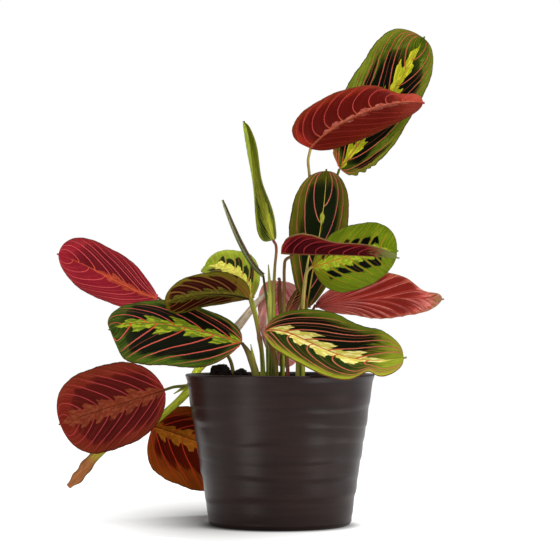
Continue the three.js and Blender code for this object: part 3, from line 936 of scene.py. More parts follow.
@dataclass(frozen=True)
class Run:
    """How the veins of one half run from the midrib to the margin.

    Lead and rake carry them towards the tip, bend curves them forward and back lets them
    leave the midrib backwards first. Close 1 ends them all at the margin, and with less
    of it the outer ones run on to the tip. Quilt is this half's share of the quilting.
    """

    lead: float = 0.4
    rake: float = 1.1
    bend: float = 1.3
    back: float = 0.0
    close: float = 1.0
    quilt: float = 1.0

    def drift(self, reach: np.ndarray, along: np.ndarray) -> np.ndarray:
        """How far a vein has run along the blade, as a share of its length.

        Args:
            reach: Places from 0 at the midrib to 1 at the margin.
            along: Places from 0 at the base to 1 at the tip.

        Returns:
            The shares.
        """
        curve = reach**self.bend - self.back * reach * (1.0 - reach)
        return (1.0 - self.close * along) * (self.lead + self.rake * along) * curve


@dataclass(frozen=True)
class Veins:
    """The side veins of a leaf.

    Count is how many leave each side of the midrib, stagger sets the left half's between
    the right half's, and quilt is how far the blade puffs up between them, in
    millimetres.
    """

    count: float = 7.5
    left: Run = Run()
    right: Run = Run()
    stagger: float = 0.4
    quilt: float = 0.45

    # The count at the base of the midrib.
    START = 20.5

    def phase(self, side: np.ndarray, along: np.ndarray) -> np.ndarray:
        """Counts veins up to a place; whole numbers lie on a vein.

        Args:
            side: Places from -1 at the left margin to 1 at the right.
            along: Places from 0 at the base to 1 at the tip.

        Returns:
            The counts, without the left half's stagger.
        """
        reach = np.abs(side)
        left = self.left.drift(reach, along)
        right = self.right.drift(reach, along)
        return self.count * (along - np.where(side < 0, left, right)) + self.START


@dataclass(frozen=True)
class Leaf:
    """One leaf blade: a thin closed body with veins, markings and a midrib.

    Midrib gives the four points of its curve, facing the way that the upper face looks at
    base and tip, and wave the height in millimetres, count and phase of the margin's
    waves. Ragged is the margin's small unevenness and torn the depth of the bites near
    its base, both as shares of the half width.
    """

    name: str
    slot: str
    midrib: tuple[Point, Point, Point, Point]
    facing: tuple[Point, Point]
    left: HalfBlade
    right: HalfBlade
    wave: Point = (1, 2, 0.3)
    upper: BladeFace = LEAF_SHOWY
    under: BladeFace = RED_UNDERSIDE
    veins: Veins = Veins()
    ragged: float = 0.012
    torn: float = 0.0
    rows: int = 120
    columns: int = 60

    # Thickness and least half width in millimetres, and least curl in radians.
    THICKNESS = 0.7
    HALF_MIN = 0.5
    LEAST_CURL = 1e-3
    # Rows crowd towards base and tip, columns towards the midrib.
    ROW_CROWDING = 0.75
    COLUMN_CROWDING = 1.25
    # How far ahead the left half's waves are, in radians, and the share of the half
    # width beside the midrib over which the face takes up its tilt.
    LEFT_SHIFT = 1.7
    FLAT_TO = 0.06
    # Unevenness of the margin: each wave's share and its count along the blade.
    WAVES = ((0.5, 5.0), (0.3, 13.0), (0.2, 29.0))
    # Where along the blade the bites are gone and where they are full.
    TORN_SPAN = (0.28, 0.1)
    # The midrib's ridge below and groove above: height and half width in millimetres.
    RIDGE = (1.1, 1.1)
    GROOVE = (0.3, 0.9)

    def spine(self, along: np.ndarray) -> tuple[np.ndarray, np.ndarray, np.ndarray]:
        """Follows the midrib.

        Args:
            along: Places from 0 at the base to 1 at the tip.

        Returns:
            Points of the midrib, its directions, and the directions straight up from it.
        """
        first, second, third, last = (np.array(p, float) for p in self.midrib)
        t = along[:, None]
        u = 1.0 - t
        centre = (
            u**3 * first
            + 3 * u**2 * t * second
            + 3 * u * t**2 * third
            + t**3 * last
        )
        tangent = (
            u**2 * (second - first) + 2 * u * t * (third - second) + t**2 * (last - third)
        )
        tangent /= np.linalg.norm(tangent, axis=1, keepdims=True)
        base, tip = (np.array(f) / np.linalg.norm(f) for f in self.facing)
        normal = base * u + tip * t
        normal -= tangent * np.sum(normal * tangent, axis=1, keepdims=True)
        normal /= np.linalg.norm(normal, axis=1, keepdims=True)
        return centre, tangent, normal

    def pick(self, read: str, side: np.ndarray, along: np.ndarray) -> np.ndarray:
        """Reads a size of the half that each place is on.

        Args:
            read: The name of the size; a pair runs from base to tip.
            side: Places across the blade.
            along: Places from base to tip.

        Returns:
            The size at each place.
        """
        left, right = getattr(self.left, read), getattr(self.right, read)
        if isinstance(left, tuple):
            left = left[0] + (left[1] - left[0]) * along
            right = right[0] + (right[1] - right[0]) * along
        return np.where(side < 0, left, right)

    def lay(
        self, side: np.ndarray, along: np.ndarray
    ) -> tuple[np.ndarray, np.ndarray, np.ndarray]:
        """Places points of the upper face on the leaf's bent surface.

        Args:
            side: Places from -1 at the left margin to 1 at the right.
            along: Places from 0 at the base to 1 at the tip.

        Returns:
            The points, the directions straight up from the face there, and the distance
            from the midrib to each point, in millimetres.
        """
        centre, tangent, normal = self.spine(along)
        across = np.cross(tangent, normal)
        is_left = side < 0
        reach = np.abs(side)
        outline = np.where(is_left, self.left.outline(along), self.right.outline(along))
        width = self.pick("width", side, along) * outline * self.wavering(side, along)
        width = np.maximum(self.HALF_MIN, width)
        fold = np.radians(self.pick("fold", side, along))
        curl = np.radians(self.pick("curl", side, along))
        curl = np.where(curl == 0, self.LEAST_CURL, curl)
        turned = fold + curl * reach
        out = width / curl * (np.sin(turned) - np.sin(fold))
        height, count, phase = self.wave
        turn = 2 * math.pi * (count * along + phase)
        turn = turn + np.where(is_left, self.LEFT_SHIFT, 0.0)
        up = width / curl * (np.cos(fold) - np.cos(turned))
        up += height * reach**2 * np.sin(turn) * np.sin(math.pi * along)
        sign = np.where(is_left, -1.0, 1.0)
        tilt = sign * turned * eased(reach, 0.0, self.FLAT_TO)
        sweep = self.pick("sweep", side, along)
        point = (
            centre
            + across * (sign * out)[:, None]
            + normal * up[:, None]
            + tangent * (sweep * out)[:, None]
        )
        above = normal * np.cos(tilt)[:, None] - across * np.sin(tilt)[:, None]
        return point, above, width * reach

    def wavering(self, side: np.ndarray, along: np.ndarray) -> np.ndarray:
        """Small unevenness of the margin, as a factor on the half width.

        Args:
            side: Places across the blade.
            along: Places from base to tip.

        Returns:
            Factors near 1.
        """
        seed = 0.37 * len(self.name) + self.midrib[0][0] + np.where(side < 0, 2.1, 0.0)
        wobble = sum(
            share * np.sin(2 * math.pi * count * along + i * seed)
            for i, (share, count) in enumerate(self.WAVES, 1)
        )
        bites = np.sin(2 * math.pi * 11.0 * along + seed)
        bites = bites * np.sin(47.0 * along + 2 * seed)
        bitten = np.abs(bites) * np.abs(side) ** 4 * eased(along, *self.TORN_SPAN)
        return 1.0 + self.ragged * (wobble - 0.6) - self.torn * bitten

    def vein_gap(self, side: np.ndarray, along: np.ndarray) -> np.ndarray:
        """Measures the distance between neighbouring veins.

        Args:
            side: Places across the blade.
            along: Places from base to tip.

        Returns:
            Millimetres from one vein to the next at each place.
        """
        step = 1e-3
        reach = np.clip(np.abs(side), 0.02, 0.98) * np.where(side < 0, -1.0, 1.0)
        place = np.clip(along, 0.01, 0.99)
        ends = []
        for ds, dt in ((step, 0.0), (0.0, step)):
            ahead = self.lay(reach + ds, place + dt)[0]
            behind = self.lay(reach - ds, place - dt)[0]
            slope = self.veins.phase(reach + ds, place + dt)
            slope = slope - self.veins.phase(reach - ds, place - dt)
            ends.append(((ahead - behind) / (2 * step), slope / (2 * step)))
        (by_side, phase_side), (by_along, phase_along) = ends
        side_side = np.sum(by_side * by_side, axis=1)
        along_along = np.sum(by_along * by_along, axis=1)
        side_along = np.sum(by_side * by_along, axis=1)
        area = np.maximum(side_side * along_along - side_along**2, 1e-6)
        steepness = (
            phase_along**2 * side_side
            - 2 * phase_along * phase_side * side_along
            + phase_side**2 * along_along
        ) / area
        return 1.0 / np.sqrt(np.maximum(steepness, 1e-6))

    def puff(self, side: np.ndarray, along: np.ndarray, gap: np.ndarray) -> np.ndarray:
        """How far the blade stands up between its veins, in millimetres.

        Args:
            side: Places across the blade.
            along: Places from base to tip.
            gap: Millimetres from one vein to the next.

        Returns:
            Heights above the smooth blade.
        """
        reach = np.abs(side)
        phase = self.veins.phase(side, along)
        phase = phase + np.where(side < 0, self.veins.stagger, 0.0)
        pillow = np.abs(np.sin(math.pi * phase)) ** 0.8 - 0.4
        room = eased(reach, 0.02, 0.3) * (1.0 - 0.5 * eased(reach, 0.7, 1.0))
        ends = eased(along, 0.0, 0.12) * (1.0 - eased(along, 0.85, 1.0))
        left, right = self.veins.left.quilt, self.veins.right.quilt
        quilt = np.where(side < 0, left, right) * self.veins.quilt
        return quilt * pillow * room * ends * np.clip(gap / 6.0, 0.0, 1.0)

    def build(self) -> bpy.types.Object:
        """Makes the blade: a grid for its lower face, drawn up into a closed body.

        Returns:
            The finished piece.
        """
        mesh = bmesh.new()
        for name in ("blade", "veins"):
            mesh.verts.layers.float_vector.new(name)
        bmesh.ops.create_grid(
            mesh, x_segments=self.columns, y_segments=self.rows, size=1.0
        )
        lower = list(mesh.verts)
        drawn = bmesh.ops.extrude_face_region(
            mesh, geom=list(mesh.faces), use_keep_orig=True
        )
        upper = [g for g in drawn["geom"] if isinstance(g, bmesh.types.BMVert)]
        top_faces = [g for g in drawn["geom"] if isinstance(g, bmesh.types.BMFace)]
        bmesh.ops.translate(mesh, verts=upper, vec=(0.0, 0.0, 0.1))
        bmesh.ops.recalc_face_normals(mesh, faces=list(mesh.faces))
        for face in mesh.faces:
            face.material_index = Face.UNDER.value
        for face in top_faces:
            face.material_index = Face.UPPER.value
        self.bend(mesh, upper, 0.0)
        self.bend(mesh, lower, self.THICKNESS)
        seed = abs(self.midrib[3][0]) * 0.7 + self.midrib[3][2] * 0.31
        finishes = [
            self.upper.dress(f"{self.name}_upper", self.veins.stagger, seed),
            self.under.dress(f"{self.name}_underside", self.veins.stagger, seed),
        ]
        return set_down(f"{self.name}_blade", mesh, finishes, self.name)

    def bend(
        self, mesh: bmesh.types.BMesh, verts: list[bmesh.types.BMVert], depth: float
    ) -> None:
        """Lays one face of the flat blade in place and notes where its points lie.

        Args:
            mesh: The blade.
            verts: The face's points on the grid.
            depth: How far they lie under the upper face, in millimetres.
        """
        blade = mesh.verts.layers.float_vector["blade"]
        veins = mesh.verts.layers.float_vector["veins"]
        spots = np.array([vert.co[:2] for vert in verts])
        side = np.sign(spots[:, 0]) * np.abs(spots[:, 0]) ** self.COLUMN_CROWDING
        side[np.abs(side) < 1e-4] = 0.0
        even = (spots[:, 1] + 1.0) / 2.0
        along = even - self.ROW_CROWDING / (2 * math.pi) * np.sin(2 * math.pi * even)
        point, above, reach = self.lay(side, along)
        gap = self.vein_gap(side, along)
        lift = self.puff(side, along, gap) - depth
        if depth:
            high, wide = self.RIDGE
            ridge = high * (1.0 - 0.75 * along) * eased(along, 1.0, 0.9)
            lift -= ridge * np.exp(-((reach / wide) ** 2))
        else:
            high, wide = self.GROOVE
            lift -= high * np.exp(-((reach / wide) ** 2)) * (1.0 - along)
        point = (point + above * lift[:, None]) * MM
        phase = self.veins.phase(side, along)
        start = (phase - self.veins.START) / self.veins.count
        for i, vert in enumerate(verts):
            vert.co = point[i]
            vert[blade] = (along[i], side[i], reach[i])
            vert[veins] = (phase[i], gap[i], start[i])


LEAVES = (
    Leaf(
        name="leaf_top_right",
        slot="leaf_green",
        midrib=((47, 28, 276), (67, 26, 300), (98, 36, 350), (114, 36, 381)),
        facing=((-0.35, -1, 0.15), (-0.1, -1, 0.4)),
        left=HalfBlade(34, 0.54, (3.2, 3.4), (4, 4), (8, 8), 0.2),
        right=HalfBlade(26, 0.44, (2.4, 2.8), (4, 4), (10, 10), -0.15),
        wave=(1.5, 2, 0.1),
        veins=Veins(5.5, Run(0.8, 0.7, 1.6, 0.0, 0.45), Run(0.5, 0.9, 1.6, 0.0, 0.7)),
        ragged=0.016,
        torn=0.14,
    ),
    Leaf(
        name="leaf_upper_underside",
        slot="leaf_red",
        midrib=((24, 14, 291), (36, 4, 307), (81, -14, 329), (110, -24, 322)),
        facing=((-0.1, 1, 0.15), (0.2, 1, 0)),
        left=HalfBlade(19.5, 0.5, (1.8, 1.4), (5, 10), (15, 20)),
        right=HalfBlade(
            27, 0.46, (3.6, 1.5), (10, 20), (20, 40), -0.45, (0.84, 0.5, 0.1)
        ),
        under=replace(
            RED_UNDERSIDE, ground="#7c1c0e", tip="#a04838", tip_share=0.6,
            # Painted shade darkens the left half.
            tip_span=(0.7, 1.0), painted_half_shade=(0.56, 1.0), blotch="#4c0d08",
            # The pale pink band along the midrib is a painted highlight for the gloss
            # along the fold.
            blotch_halves=(0.5, 1.0), band="#b8705e", band_deep="#a04c3c", band_core=0.0,
            band_lobe=0.1, band_ends=(0.1, 0.3, 0.85, 0.97), band_strength=0.6,
            vein="#983432", vein_halves=(0.25, 1.0), fine_veins=0.1,
        ),
        veins=Veins(
            9.0, Run(0.3, 0.3, 1.2, 0.0, 0.1, 0.0), Run(0.2, 0.7, 1.7, 0.5), quilt=0.7
        ),
    ),
    Leaf(
        name="leaf_tall_dark",
        slot="leaf_green",
        midrib=((21, 14, 167), (25, 14, 200), (36, 12, 239), (36, 18, 275)),
        facing=((0.05, -1, 0.1), (0, -1, 0.2)),
        left=HalfBlade(25, 0.6, (1.6, 2.4), (5, 5), (8, 8)),
        right=HalfBlade(22, 0.58, (1.8, 2.4), (12, 12), (20, 20)),
        wave=(1, 2, 0),
        upper=LEAF_OLIVE,
        veins=Veins(3.4, Run(0.55, 0.6, 1.8, 0.0, 0.0), Run(0.55, 0.6, 1.8, 0.0, 0.0)),
    ),
    Leaf(
        name="leaf_folded_maroon",
        slot="leaf_maroon",
        midrib=((1, -24, 209), (17, -22, 207), (53, -30, 209), (90, -36, 204)),
        facing=((-0.1, 0.2, 1), (0, 0.2, 1)),
        left=HalfBlade(
            17, 0.3, (1, 1.2), (50, 60), (30, 20), -0.1, (0.55, 0.3, 0.15)
        ),
        right=HalfBlade(
            20, 0.28, (1, 1.2), (35, 35), (10, 10), -0.05, (0.55, 0.3, 0.15)
        ),
        wave=(0.6, 2, 0.3),
        under=MAROON_UNDERSIDE,
        veins=Veins(9.0, Run(0.3, 0.9, 1.6, 0.3), Run(0.2, 0.7, 1.7, 0.4), quilt=1.2),
    ),
    Leaf(
        name="leaf_blotched_right",
        slot="leaf_lime",
        midrib=((25, -12, 198), (42, -4, 202), (66, 4, 214), (92, 14, 211)),
        facing=((0.2, -1, 0.15), (0.2, -1, 0.2)),
        left=HalfBlade(23, 0.6, (2.3, 3)),
        right=HalfBlade(28, 0.45, (2.6, 2)),
        upper=LEAF_BLOTCHED,
        veins=Veins(7.5, Run(0.35, 0.9, 1.6), Run(0.35, 0.9, 1.6)),
    ),
    Leaf(
        name="leaf_front_right",
        slot="leaf_green",
        midrib=((-12, -14, 149), (15, -30, 156), (37, -64, 117), (93, -74, 130)),
        facing=((-0.1, -0.8, 0.8), (0.1, -0.8, 0.6)),
        left=HalfBlade(31, 0.46, (1.6, 2.8), (5, 5), (15, 15), 0.25),
        right=HalfBlade(
            28, 0.52, (1.7, 3), (5, 5), (15, 15), 0.1, (0.83, 0.45, 0.045)
        ),
        wave=(1.5, 2, 0.3),
        upper=LEAF_CREAM_BAND,
        veins=Veins(
            5.5, Run(0.6, 0.8, 1.5, 0.0, 0.5), Run(0.6, 0.6, 2.2, 0.35, 0.5), quilt=0.7
        ),
    ),
    Leaf(
        name="leaf_far_left",
        slot="leaf_red",
        midrib=((-96, 34, 175), (-120, 40, 181), (-149, 46, 202), (-177, 52, 210)),
        facing=((-0.1, 0.85, 0.5), (-0.1, 0.85, 0.5)),
        left=HalfBlade(22, 0.6, (2.2, 2.8)),
        right=HalfBlade(25, 0.57, (2, 2.4)),
        under=CRIMSON_UNDERSIDE,
        veins=Veins(6.5, Run(0.6, 0.9, 1.5, 0.0, 0.7), Run(0.5, 0.9, 1.7, 0.2, 0.7)),
    ),
    Leaf(
        name="leaf_front_left",
        slot="leaf_green",
        midrib=((-29, -24, 140), (-59, -30, 150), (-107, -42, 163), (-128, -50, 150)),
        facing=((0.05, -0.75, 0.7), (-0.3, -0.75, 0.6)),
        left=HalfBlade(35, 0.54, (3.6, 3.6), (-20, -10), (0, 0), 0.32),
        right=HalfBlade(27, 0.48, (3, 2.6), (-6, -6), (0, 0), -0.1),
        wave=(1.5, 2, 0.3),
        upper=LEAF_DARK_PANELS,
        veins=Veins(
            5.2, Run(0.5, 0.9, 1.6, 0.0, 0.8), Run(0.5, 0.9, 1.6, 0.0, 0.8), quilt=0.6
        ),
    ),
    Leaf(
        name="leaf_left_dark",
        slot="leaf_maroon",
        midrib=((-24, -14, 174), (-44, -22, 180), (-64, -36, 178), (-87, -46, 170)),
        facing=((-0.1, 0.9, 0.4), (-0.1, 0.9, 0.4)),
        left=HalfBlade(17, 0.46, (2.4, 2.3)),
        right=HalfBlade(19, 0.6, (2.2, 2.6), (30, 20), (10, 10)),
        under=MOTTLED_UNDERSIDE,
        veins=Veins(5.5, Run(0.4, 0.9, 1.6, 0.0, 0.8), Run(0.4, 0.9, 1.6, 0.0, 0.8)),
    ),
    Leaf(
        name="leaf_lime_small",
        slot="leaf_lime",
        midrib=((-22, 8, 174), (-26, 22, 192), (-40, 42, 203), (-61, 58, 200)),
        facing=((0.1, -0.7, 0.6), (0, -0.7, 0.9)),
        left=HalfBlade(20, 0.5, (2.6, 2.6)),
        right=HalfBlade(22, 0.62, (1.8, 2.8), (5, 5), (10, 10), 0.35),
        upper=LEAF_LIME,
        veins=Veins(6.5, Run(0.3, 0.9, 1.6), Run(0.3, 0.9, 1.6)),
    ),
    Leaf(
        name="leaf_rolled_tall",
        slot="leaf_lime",
        midrib=((-5, 0, 219), (-11, -2, 238), (-22, -6, 276), (-28, -8, 310)),
        facing=((-0.5, -0.8, 0.2), (0.6, -0.8, 0.2)),
        left=HalfBlade(
            15, 0.35, (2.2, 1.8), (30, 15), (60, 125), 0, (0.6, 0.3, 0.2)
        ),
        right=HalfBlade(
            17, 0.35, (1.6, 1.8), (24, 15), (55, 125), 0, (0.55, 0.58, 0.22)
        ),
        wave=(0, 2, 0),
        upper=LEAF_ROLLED,
        under=GREEN_UNDERSIDE,
        veins=Veins(10.0, Run(0.7, 1.2, 1.2), Run(0.7, 1.2, 1.2)),
    ),
    Leaf(
        name="leaf_rolled_thin",
        slot="stalk_green",
        midrib=((-13, 14, 192), (-27, 16, 202), (-36, 20, 226), (-45, 22, 251)),
        facing=((0.6, -0.8, 0.2), (0.6, -0.8, 0.2)),
        left=HalfBlade(3.2, 0.45, (1.6, 1.3), (10, 10), (120, 120)),
        right=HalfBlade(3.2, 0.45, (1.6, 1.3), (10, 10), (120, 120)),
        wave=(0, 2, 0),
        upper=PALE_INSIDE,
        under=TWISTED_UNDERSIDE,
        columns=28,
        veins=Veins(6.0, Run(2.0, 0.0, 1.0), Run(2.0, 0.0, 1.0), quilt=0.2),
    ),
    Leaf(
        name="leaf_pink_back",
        slot="leaf_salmon",
        midrib=((-1, 36, 188), (-3, 44, 169), (2, 50, 138), (6, 50, 119)),
        facing=((0, 1, 0.1), (0, 1, -0.1)),
        left=HalfBlade(17, 0.4, (2.4, 2.2), (5, 5), (15, 15)),
        right=HalfBlade(20, 0.4, (2.4, 2.2), (5, 5), (15, 15)),
        under=PINK_UNDERSIDE,
        veins=Veins(8.0),
    ),
    Leaf(
        name="leaf_right_salmon",
        slot="leaf_salmon",
        midrib=((28, 20, 169), (55, 28, 175), (92, 40, 177), (130, 50, 174)),
        facing=((-0.2, 0.8, 0.6), (-0.2, 0.8, 0.6)),
        left=HalfBlade(24, 0.62, (1.9, 2.2), (5, 5), (15, 15)),
        right=HalfBlade(
            21, 0.55, (1.7, 1.8), (5, 5), (15, 15), 0, (0.88, 0.62, 0.13)
        ),
        wave=(1.5, 2, 0.3),
        under=SALMON_UNDERSIDE,
        veins=Veins(3.0, Run(3.0, 0.0, 1.0), Run(2.2, 0.0, 0.9), quilt=1.2),
    ),
    Leaf(
        name="leaf_low_left",
        slot="leaf_maroon",
        midrib=((-90, 20, 103), (-117, 16, 94), (-147, 6, 86), (-170, -2, 77)),
        facing=((0.1, 1, 0.1), (0.1, 1, 0.1)),
        left=HalfBlade(33, 0.52, (2.8, 2.8), (0, 0), (6, 8)),
        right=HalfBlade(33, 0.52, (2.4, 3), (0, 0), (6, 8)),
        under=WINE_UNDERSIDE,
        veins=Veins(7.0, Run(0.45, 0.9, 1.6, 0.0, 0.8), Run(0.45, 0.9, 1.6, 0.0, 0.8)),
    ),
    Leaf(
        name="leaf_behind_pot",
        slot="leaf_red",
        midrib=((-100, 42, 74), (-79, 54, 67), (-44, 76, 51), (-20, 84, 42)),
        facing=((-0.3, 1, 0.2), (-0.3, 1, 0.2)),
        left=HalfBlade(40, 0.5, (2.7, 2.4)),
        right=HalfBlade(26, 0.5, (2.4, 2.4)),
        under=RUST_UNDERSIDE,
        veins=Veins(7.0, Run(0.4, 1.0, 1.5, 0.0, 0.9), Run(0.4, 1.0, 1.5, 0.0, 0.9)),
    ),
    Leaf(
        name="leaf_young_folded",
        slot="leaf_green",
        midrib=((3, 2, 157), (6, 3, 165), (11, 5, 173), (14, 8, 181)),
        facing=((0.6, -0.8, 0.2), (0.6, -0.8, 0.2)),
        left=HalfBlade(6, 0.5, (2.3, 2), (30, 30), (20, 20)),
        right=HalfBlade(6, 0.5, (2.3, 2), (30, 30), (20, 20)),
        wave=(0, 2, 0),
        upper=LEAF_OLIVE,
        under=LEAF_OLIVE,
        columns=24,
        veins=Veins(6.0, Run(1.2, 0.4, 1.1), Run(1.2, 0.4, 1.1), quilt=0.2),
    ),
)


@dataclass(frozen=True)
class StalkFinish:
    """The ribbed, streaked skin of stalks and sheaths, with painted shade along its
    sides.
    """

    blush: str = "#5a2c18"
    # Colour of the painted shade along both sides of a stalk.
    beside: str = "#37340e"
    roughness: float = 0.48
    gloss: float = 0.15

    # How far noise is drawn out along the stalk, for streaks and for blush.
    STREAK_DRAW = 0.05
    BLUSH_DRAW = 0.12

    def dress(self, name: str) -> bpy.types.Material:
        """Makes the skin's material, which takes its main colour from the mesh.

        Args:
            name: The material's name.

        Returns:
            The material.
        """
        shader = Shader(name)
        around_x, around_y, run = shader.split(shader.stored("grain"))
        drawn_out = shader.join(around_x, around_y, shader.product(run, self.STREAK_DRAW))
        streaks = shader.cloud(drawn_out, 3.2, 3.0)
        drawn_out = shader.join(around_x, around_y, shader.product(run, self.BLUSH_DRAW))
        blush = shader.rise(shader.cloud(drawn_out, 0.8, 2.0), 0.55, 0.75)
        specks = shader.cells(shader.place(), 900.0)
        tint = shader.stored("tint", "Color")
        tone = shader.shade(tint, shader.scaled(streaks, 1.3, 0.35))
        tone = shader.blend(shader.product(blush, 0.45), tone, colour(self.blush))
        # Painted shade: darker along both sides of each stalk.
        beside = shader.rise(shader.math("ABSOLUTE", around_x), 0.5, 1.0)
        tone = shader.blend(shader.product(beside, 0.45), tone, colour(self.beside))
        roughness = shader.scaled(streaks, 0.2, self.roughness - 0.1)
        height = shader.plus(shader.product(streaks, 0.25), shader.product(specks, 0.04))
        shader.finish(tone, roughness, self.gloss, height)
        return shader.material


@dataclass(frozen=True)
class Stalk:
    """One stalk or sheath through points of x, y, z and radius in millimetres.

    Tatter is how much broader the last part gets as it dries flat.
    """

    points: tuple[StalkPoint, ...]
    tints: tuple[Tint, ...]
    tatter: float = 0.0

    SIDES = 16
    # Millimetres from ring to ring at most, and of the run past the last point.
    RING_PITCH = 1.6
    OVERLAP = 0.9
    # The rounded end: angles of its two rings and how far it stands out.
    END_ANGLES = (35.0, 65.0)
    END_DEPTH = 0.8
    # Where along the stalk the tatter starts and is full.
    DRY_SPAN = (0.9, 0.98)

    def course(self) -> list[tuple[Vector, float]]:
        """Samples the smooth curve through the points.

        Returns:
            Places and radii from foot to end, in metres.
        """
        spots = [Vector(p[:3]) * MM for p in self.points]
        radii = [p[3] * MM for p in self.points]
        before = spots[0] * 2 - spots[1]
        after = spots[-1] * 2 - spots[-2]
        padded = [before, *spots, after]
        course = []
        for i in range(len(spots) - 1):
            p0, p1, p2, p3 = padded[i : i + 4]
            d0, d1, d2 = (
                math.sqrt((b - a).length) for a, b in ((p0, p1), (p1, p2), (p2, p3))
            )
            leave = ((p1 - p0) / d0 - (p2 - p0) / (d0 + d1) + (p2 - p1) / d1) * d1
            arrive = ((p2 - p1) / d1 - (p3 - p1) / (d1 + d2) + (p3 - p2) / d2) * d1
            count = max(3, math.ceil((p2 - p1).length / (self.RING_PITCH * MM)))
            handles = p1 + leave / 3, p2 - arrive / 3
            places = interpolate_bezier(p1, *handles, p2, count + 1)
            for k, place in enumerate(places[:-1]):
                share = k / count
                course.append((place, radii[i] + (radii[i + 1] - radii[i]) * share))
        course.append((spots[-1], radii[-1]))
        onward = (spots[-1] - course[-2][0]).normalized() * self.OVERLAP * MM
        course.append((spots[-1] + onward, radii[-1]))
        return course

    def tint_at(self, share: float) -> tuple[float, ...]:
        """Colour at a share of the stalk's length.

        Args:
            share: From 0 at the foot to 1 at the end.

        Returns:
            Linear red, green, blue and alpha.
        """
        stops = [colour(tint.value) for tint in self.tints]
        if len(stops) == 1:
            return stops[0]
        spot = min(max(share, 0.0), 1.0) * (len(stops) - 1)
        low = min(int(spot), len(stops) - 2)
        rest = spot - low
        return tuple(a + (b - a) * rest for a, b in zip(stops[low], stops[low + 1]))

    def grow(self, mesh: bmesh.types.BMesh) -> None:
        """Draws the stalk out ring by ring and closes its rounded end.

        Args:
            mesh: The shoot that it is added to.
        """
        grain = mesh.verts.layers.float_vector["grain"]
        tint = mesh.verts.layers.float_color["tint"]
        course = self.course()
        places = [place for place, _ in course]
        tangents = [
            (places[min(i + 1, len(places) - 1)] - places[max(i - 1, 0)]).normalized()
            for i in range(len(places))
        ]
        end, radius = course[-1]
        for angle in self.END_ANGLES:
            turn = math.radians(angle)
            ahead = tangents[-1] * radius * math.sin(turn) * self.END_DEPTH
            course.append((end + ahead, radius * math.cos(turn)))
            tangents.append(tangents[-1])
        normal = tangents[0].orthogonal().normalized()
        if abs(normal.y) > abs(normal.x):
            normal = tangents[0].cross(normal)
        total = sum((b - a).length for a, b in zip(places, places[1:]))
        run = 0.0
        ring, edges, last = [], [], Matrix()
        for i, (place, radius) in enumerate(course):
            if i:
                run += (place - course[i - 1][0]).length
                turn = tangents[i - 1].rotation_difference(tangents[i])
                normal = (turn @ normal).normalized()
            across = tangents[i].cross(normal).normalized()
            dry = eased(run / total, *self.DRY_SPAN) * self.tatter
            broad = 1.0 + dry * (1.0 + 0.3 * math.sin(run / MM * 0.5))
            thin = across * radius / (1.0 + dry)
            axes = Matrix((normal * radius * broad, thin, tangents[i] * radius))
            stand = Matrix.Translation(place) @ axes.transposed().to_4x4()
            if not ring:
                ring = bmesh.ops.create_circle(
                    mesh, cap_ends=True, radius=1.0, segments=self.SIDES
                )["verts"]
                edges = list({edge for vert in ring for edge in vert.link_edges})
                for vert in ring:
                    vert[grain] = (vert.co.x, vert.co.y, 0.0)
                bmesh.ops.transform(mesh, matrix=stand, verts=ring)
            else:
                drawn = bmesh.ops.extrude_edge_only(mesh, edges=edges)["geom"]
                ring = [g for g in drawn if isinstance(g, bmesh.types.BMVert)]
                fresh = set(ring)
                edges = [
                    g
                    for g in drawn
                    if isinstance(g, bmesh.types.BMEdge) and fresh.issuperset(g.verts)
                ]
                bmesh.ops.transform(mesh, matrix=stand @ last.inverted(), verts=ring)
            last = stand
            here = self.tint_at(run / total)
            for vert in ring:
                around = vert[grain]
                vert[grain] = (around.x, around.y, run / MM)
                vert[tint] = here
        bmesh.ops.edgeloop_fill(mesh, edges=edges)


@dataclass(frozen=True)
class Shoot:
    """Stalks that have grown together at the foot, as one piece."""

    name: str
    slot: str
    stalks: tuple[Stalk, ...]

    def build(self, skin: bpy.types.Material) -> bpy.types.Object:
        """Makes the shoot.

        Args:
            skin: The stalks' material.

        Returns:
            The finished piece.
        """
        mesh = bmesh.new()
        mesh.verts.layers.float_vector.new("grain")
        mesh.verts.layers.float_color.new("tint")
        for stalk in self.stalks:
            stalk.grow(mesh)
        bmesh.ops.recalc_face_normals(mesh, faces=list(mesh.faces))
        return set_down(f"{self.name}_stalks", mesh, [skin], self.name)


# Heights of a stalk's foot in the soil and of a point just under the soil's top.
FOOT = 86.4
NECK = 108


def rooted(x: float, y: float, radius: float, top: float) -> tuple[StalkPoint, ...]:
    """The straight lower part of a stalk that stands in the soil, up to its top."""
    return tuple((x, y, height, radius) for height in (FOOT, NECK, top))


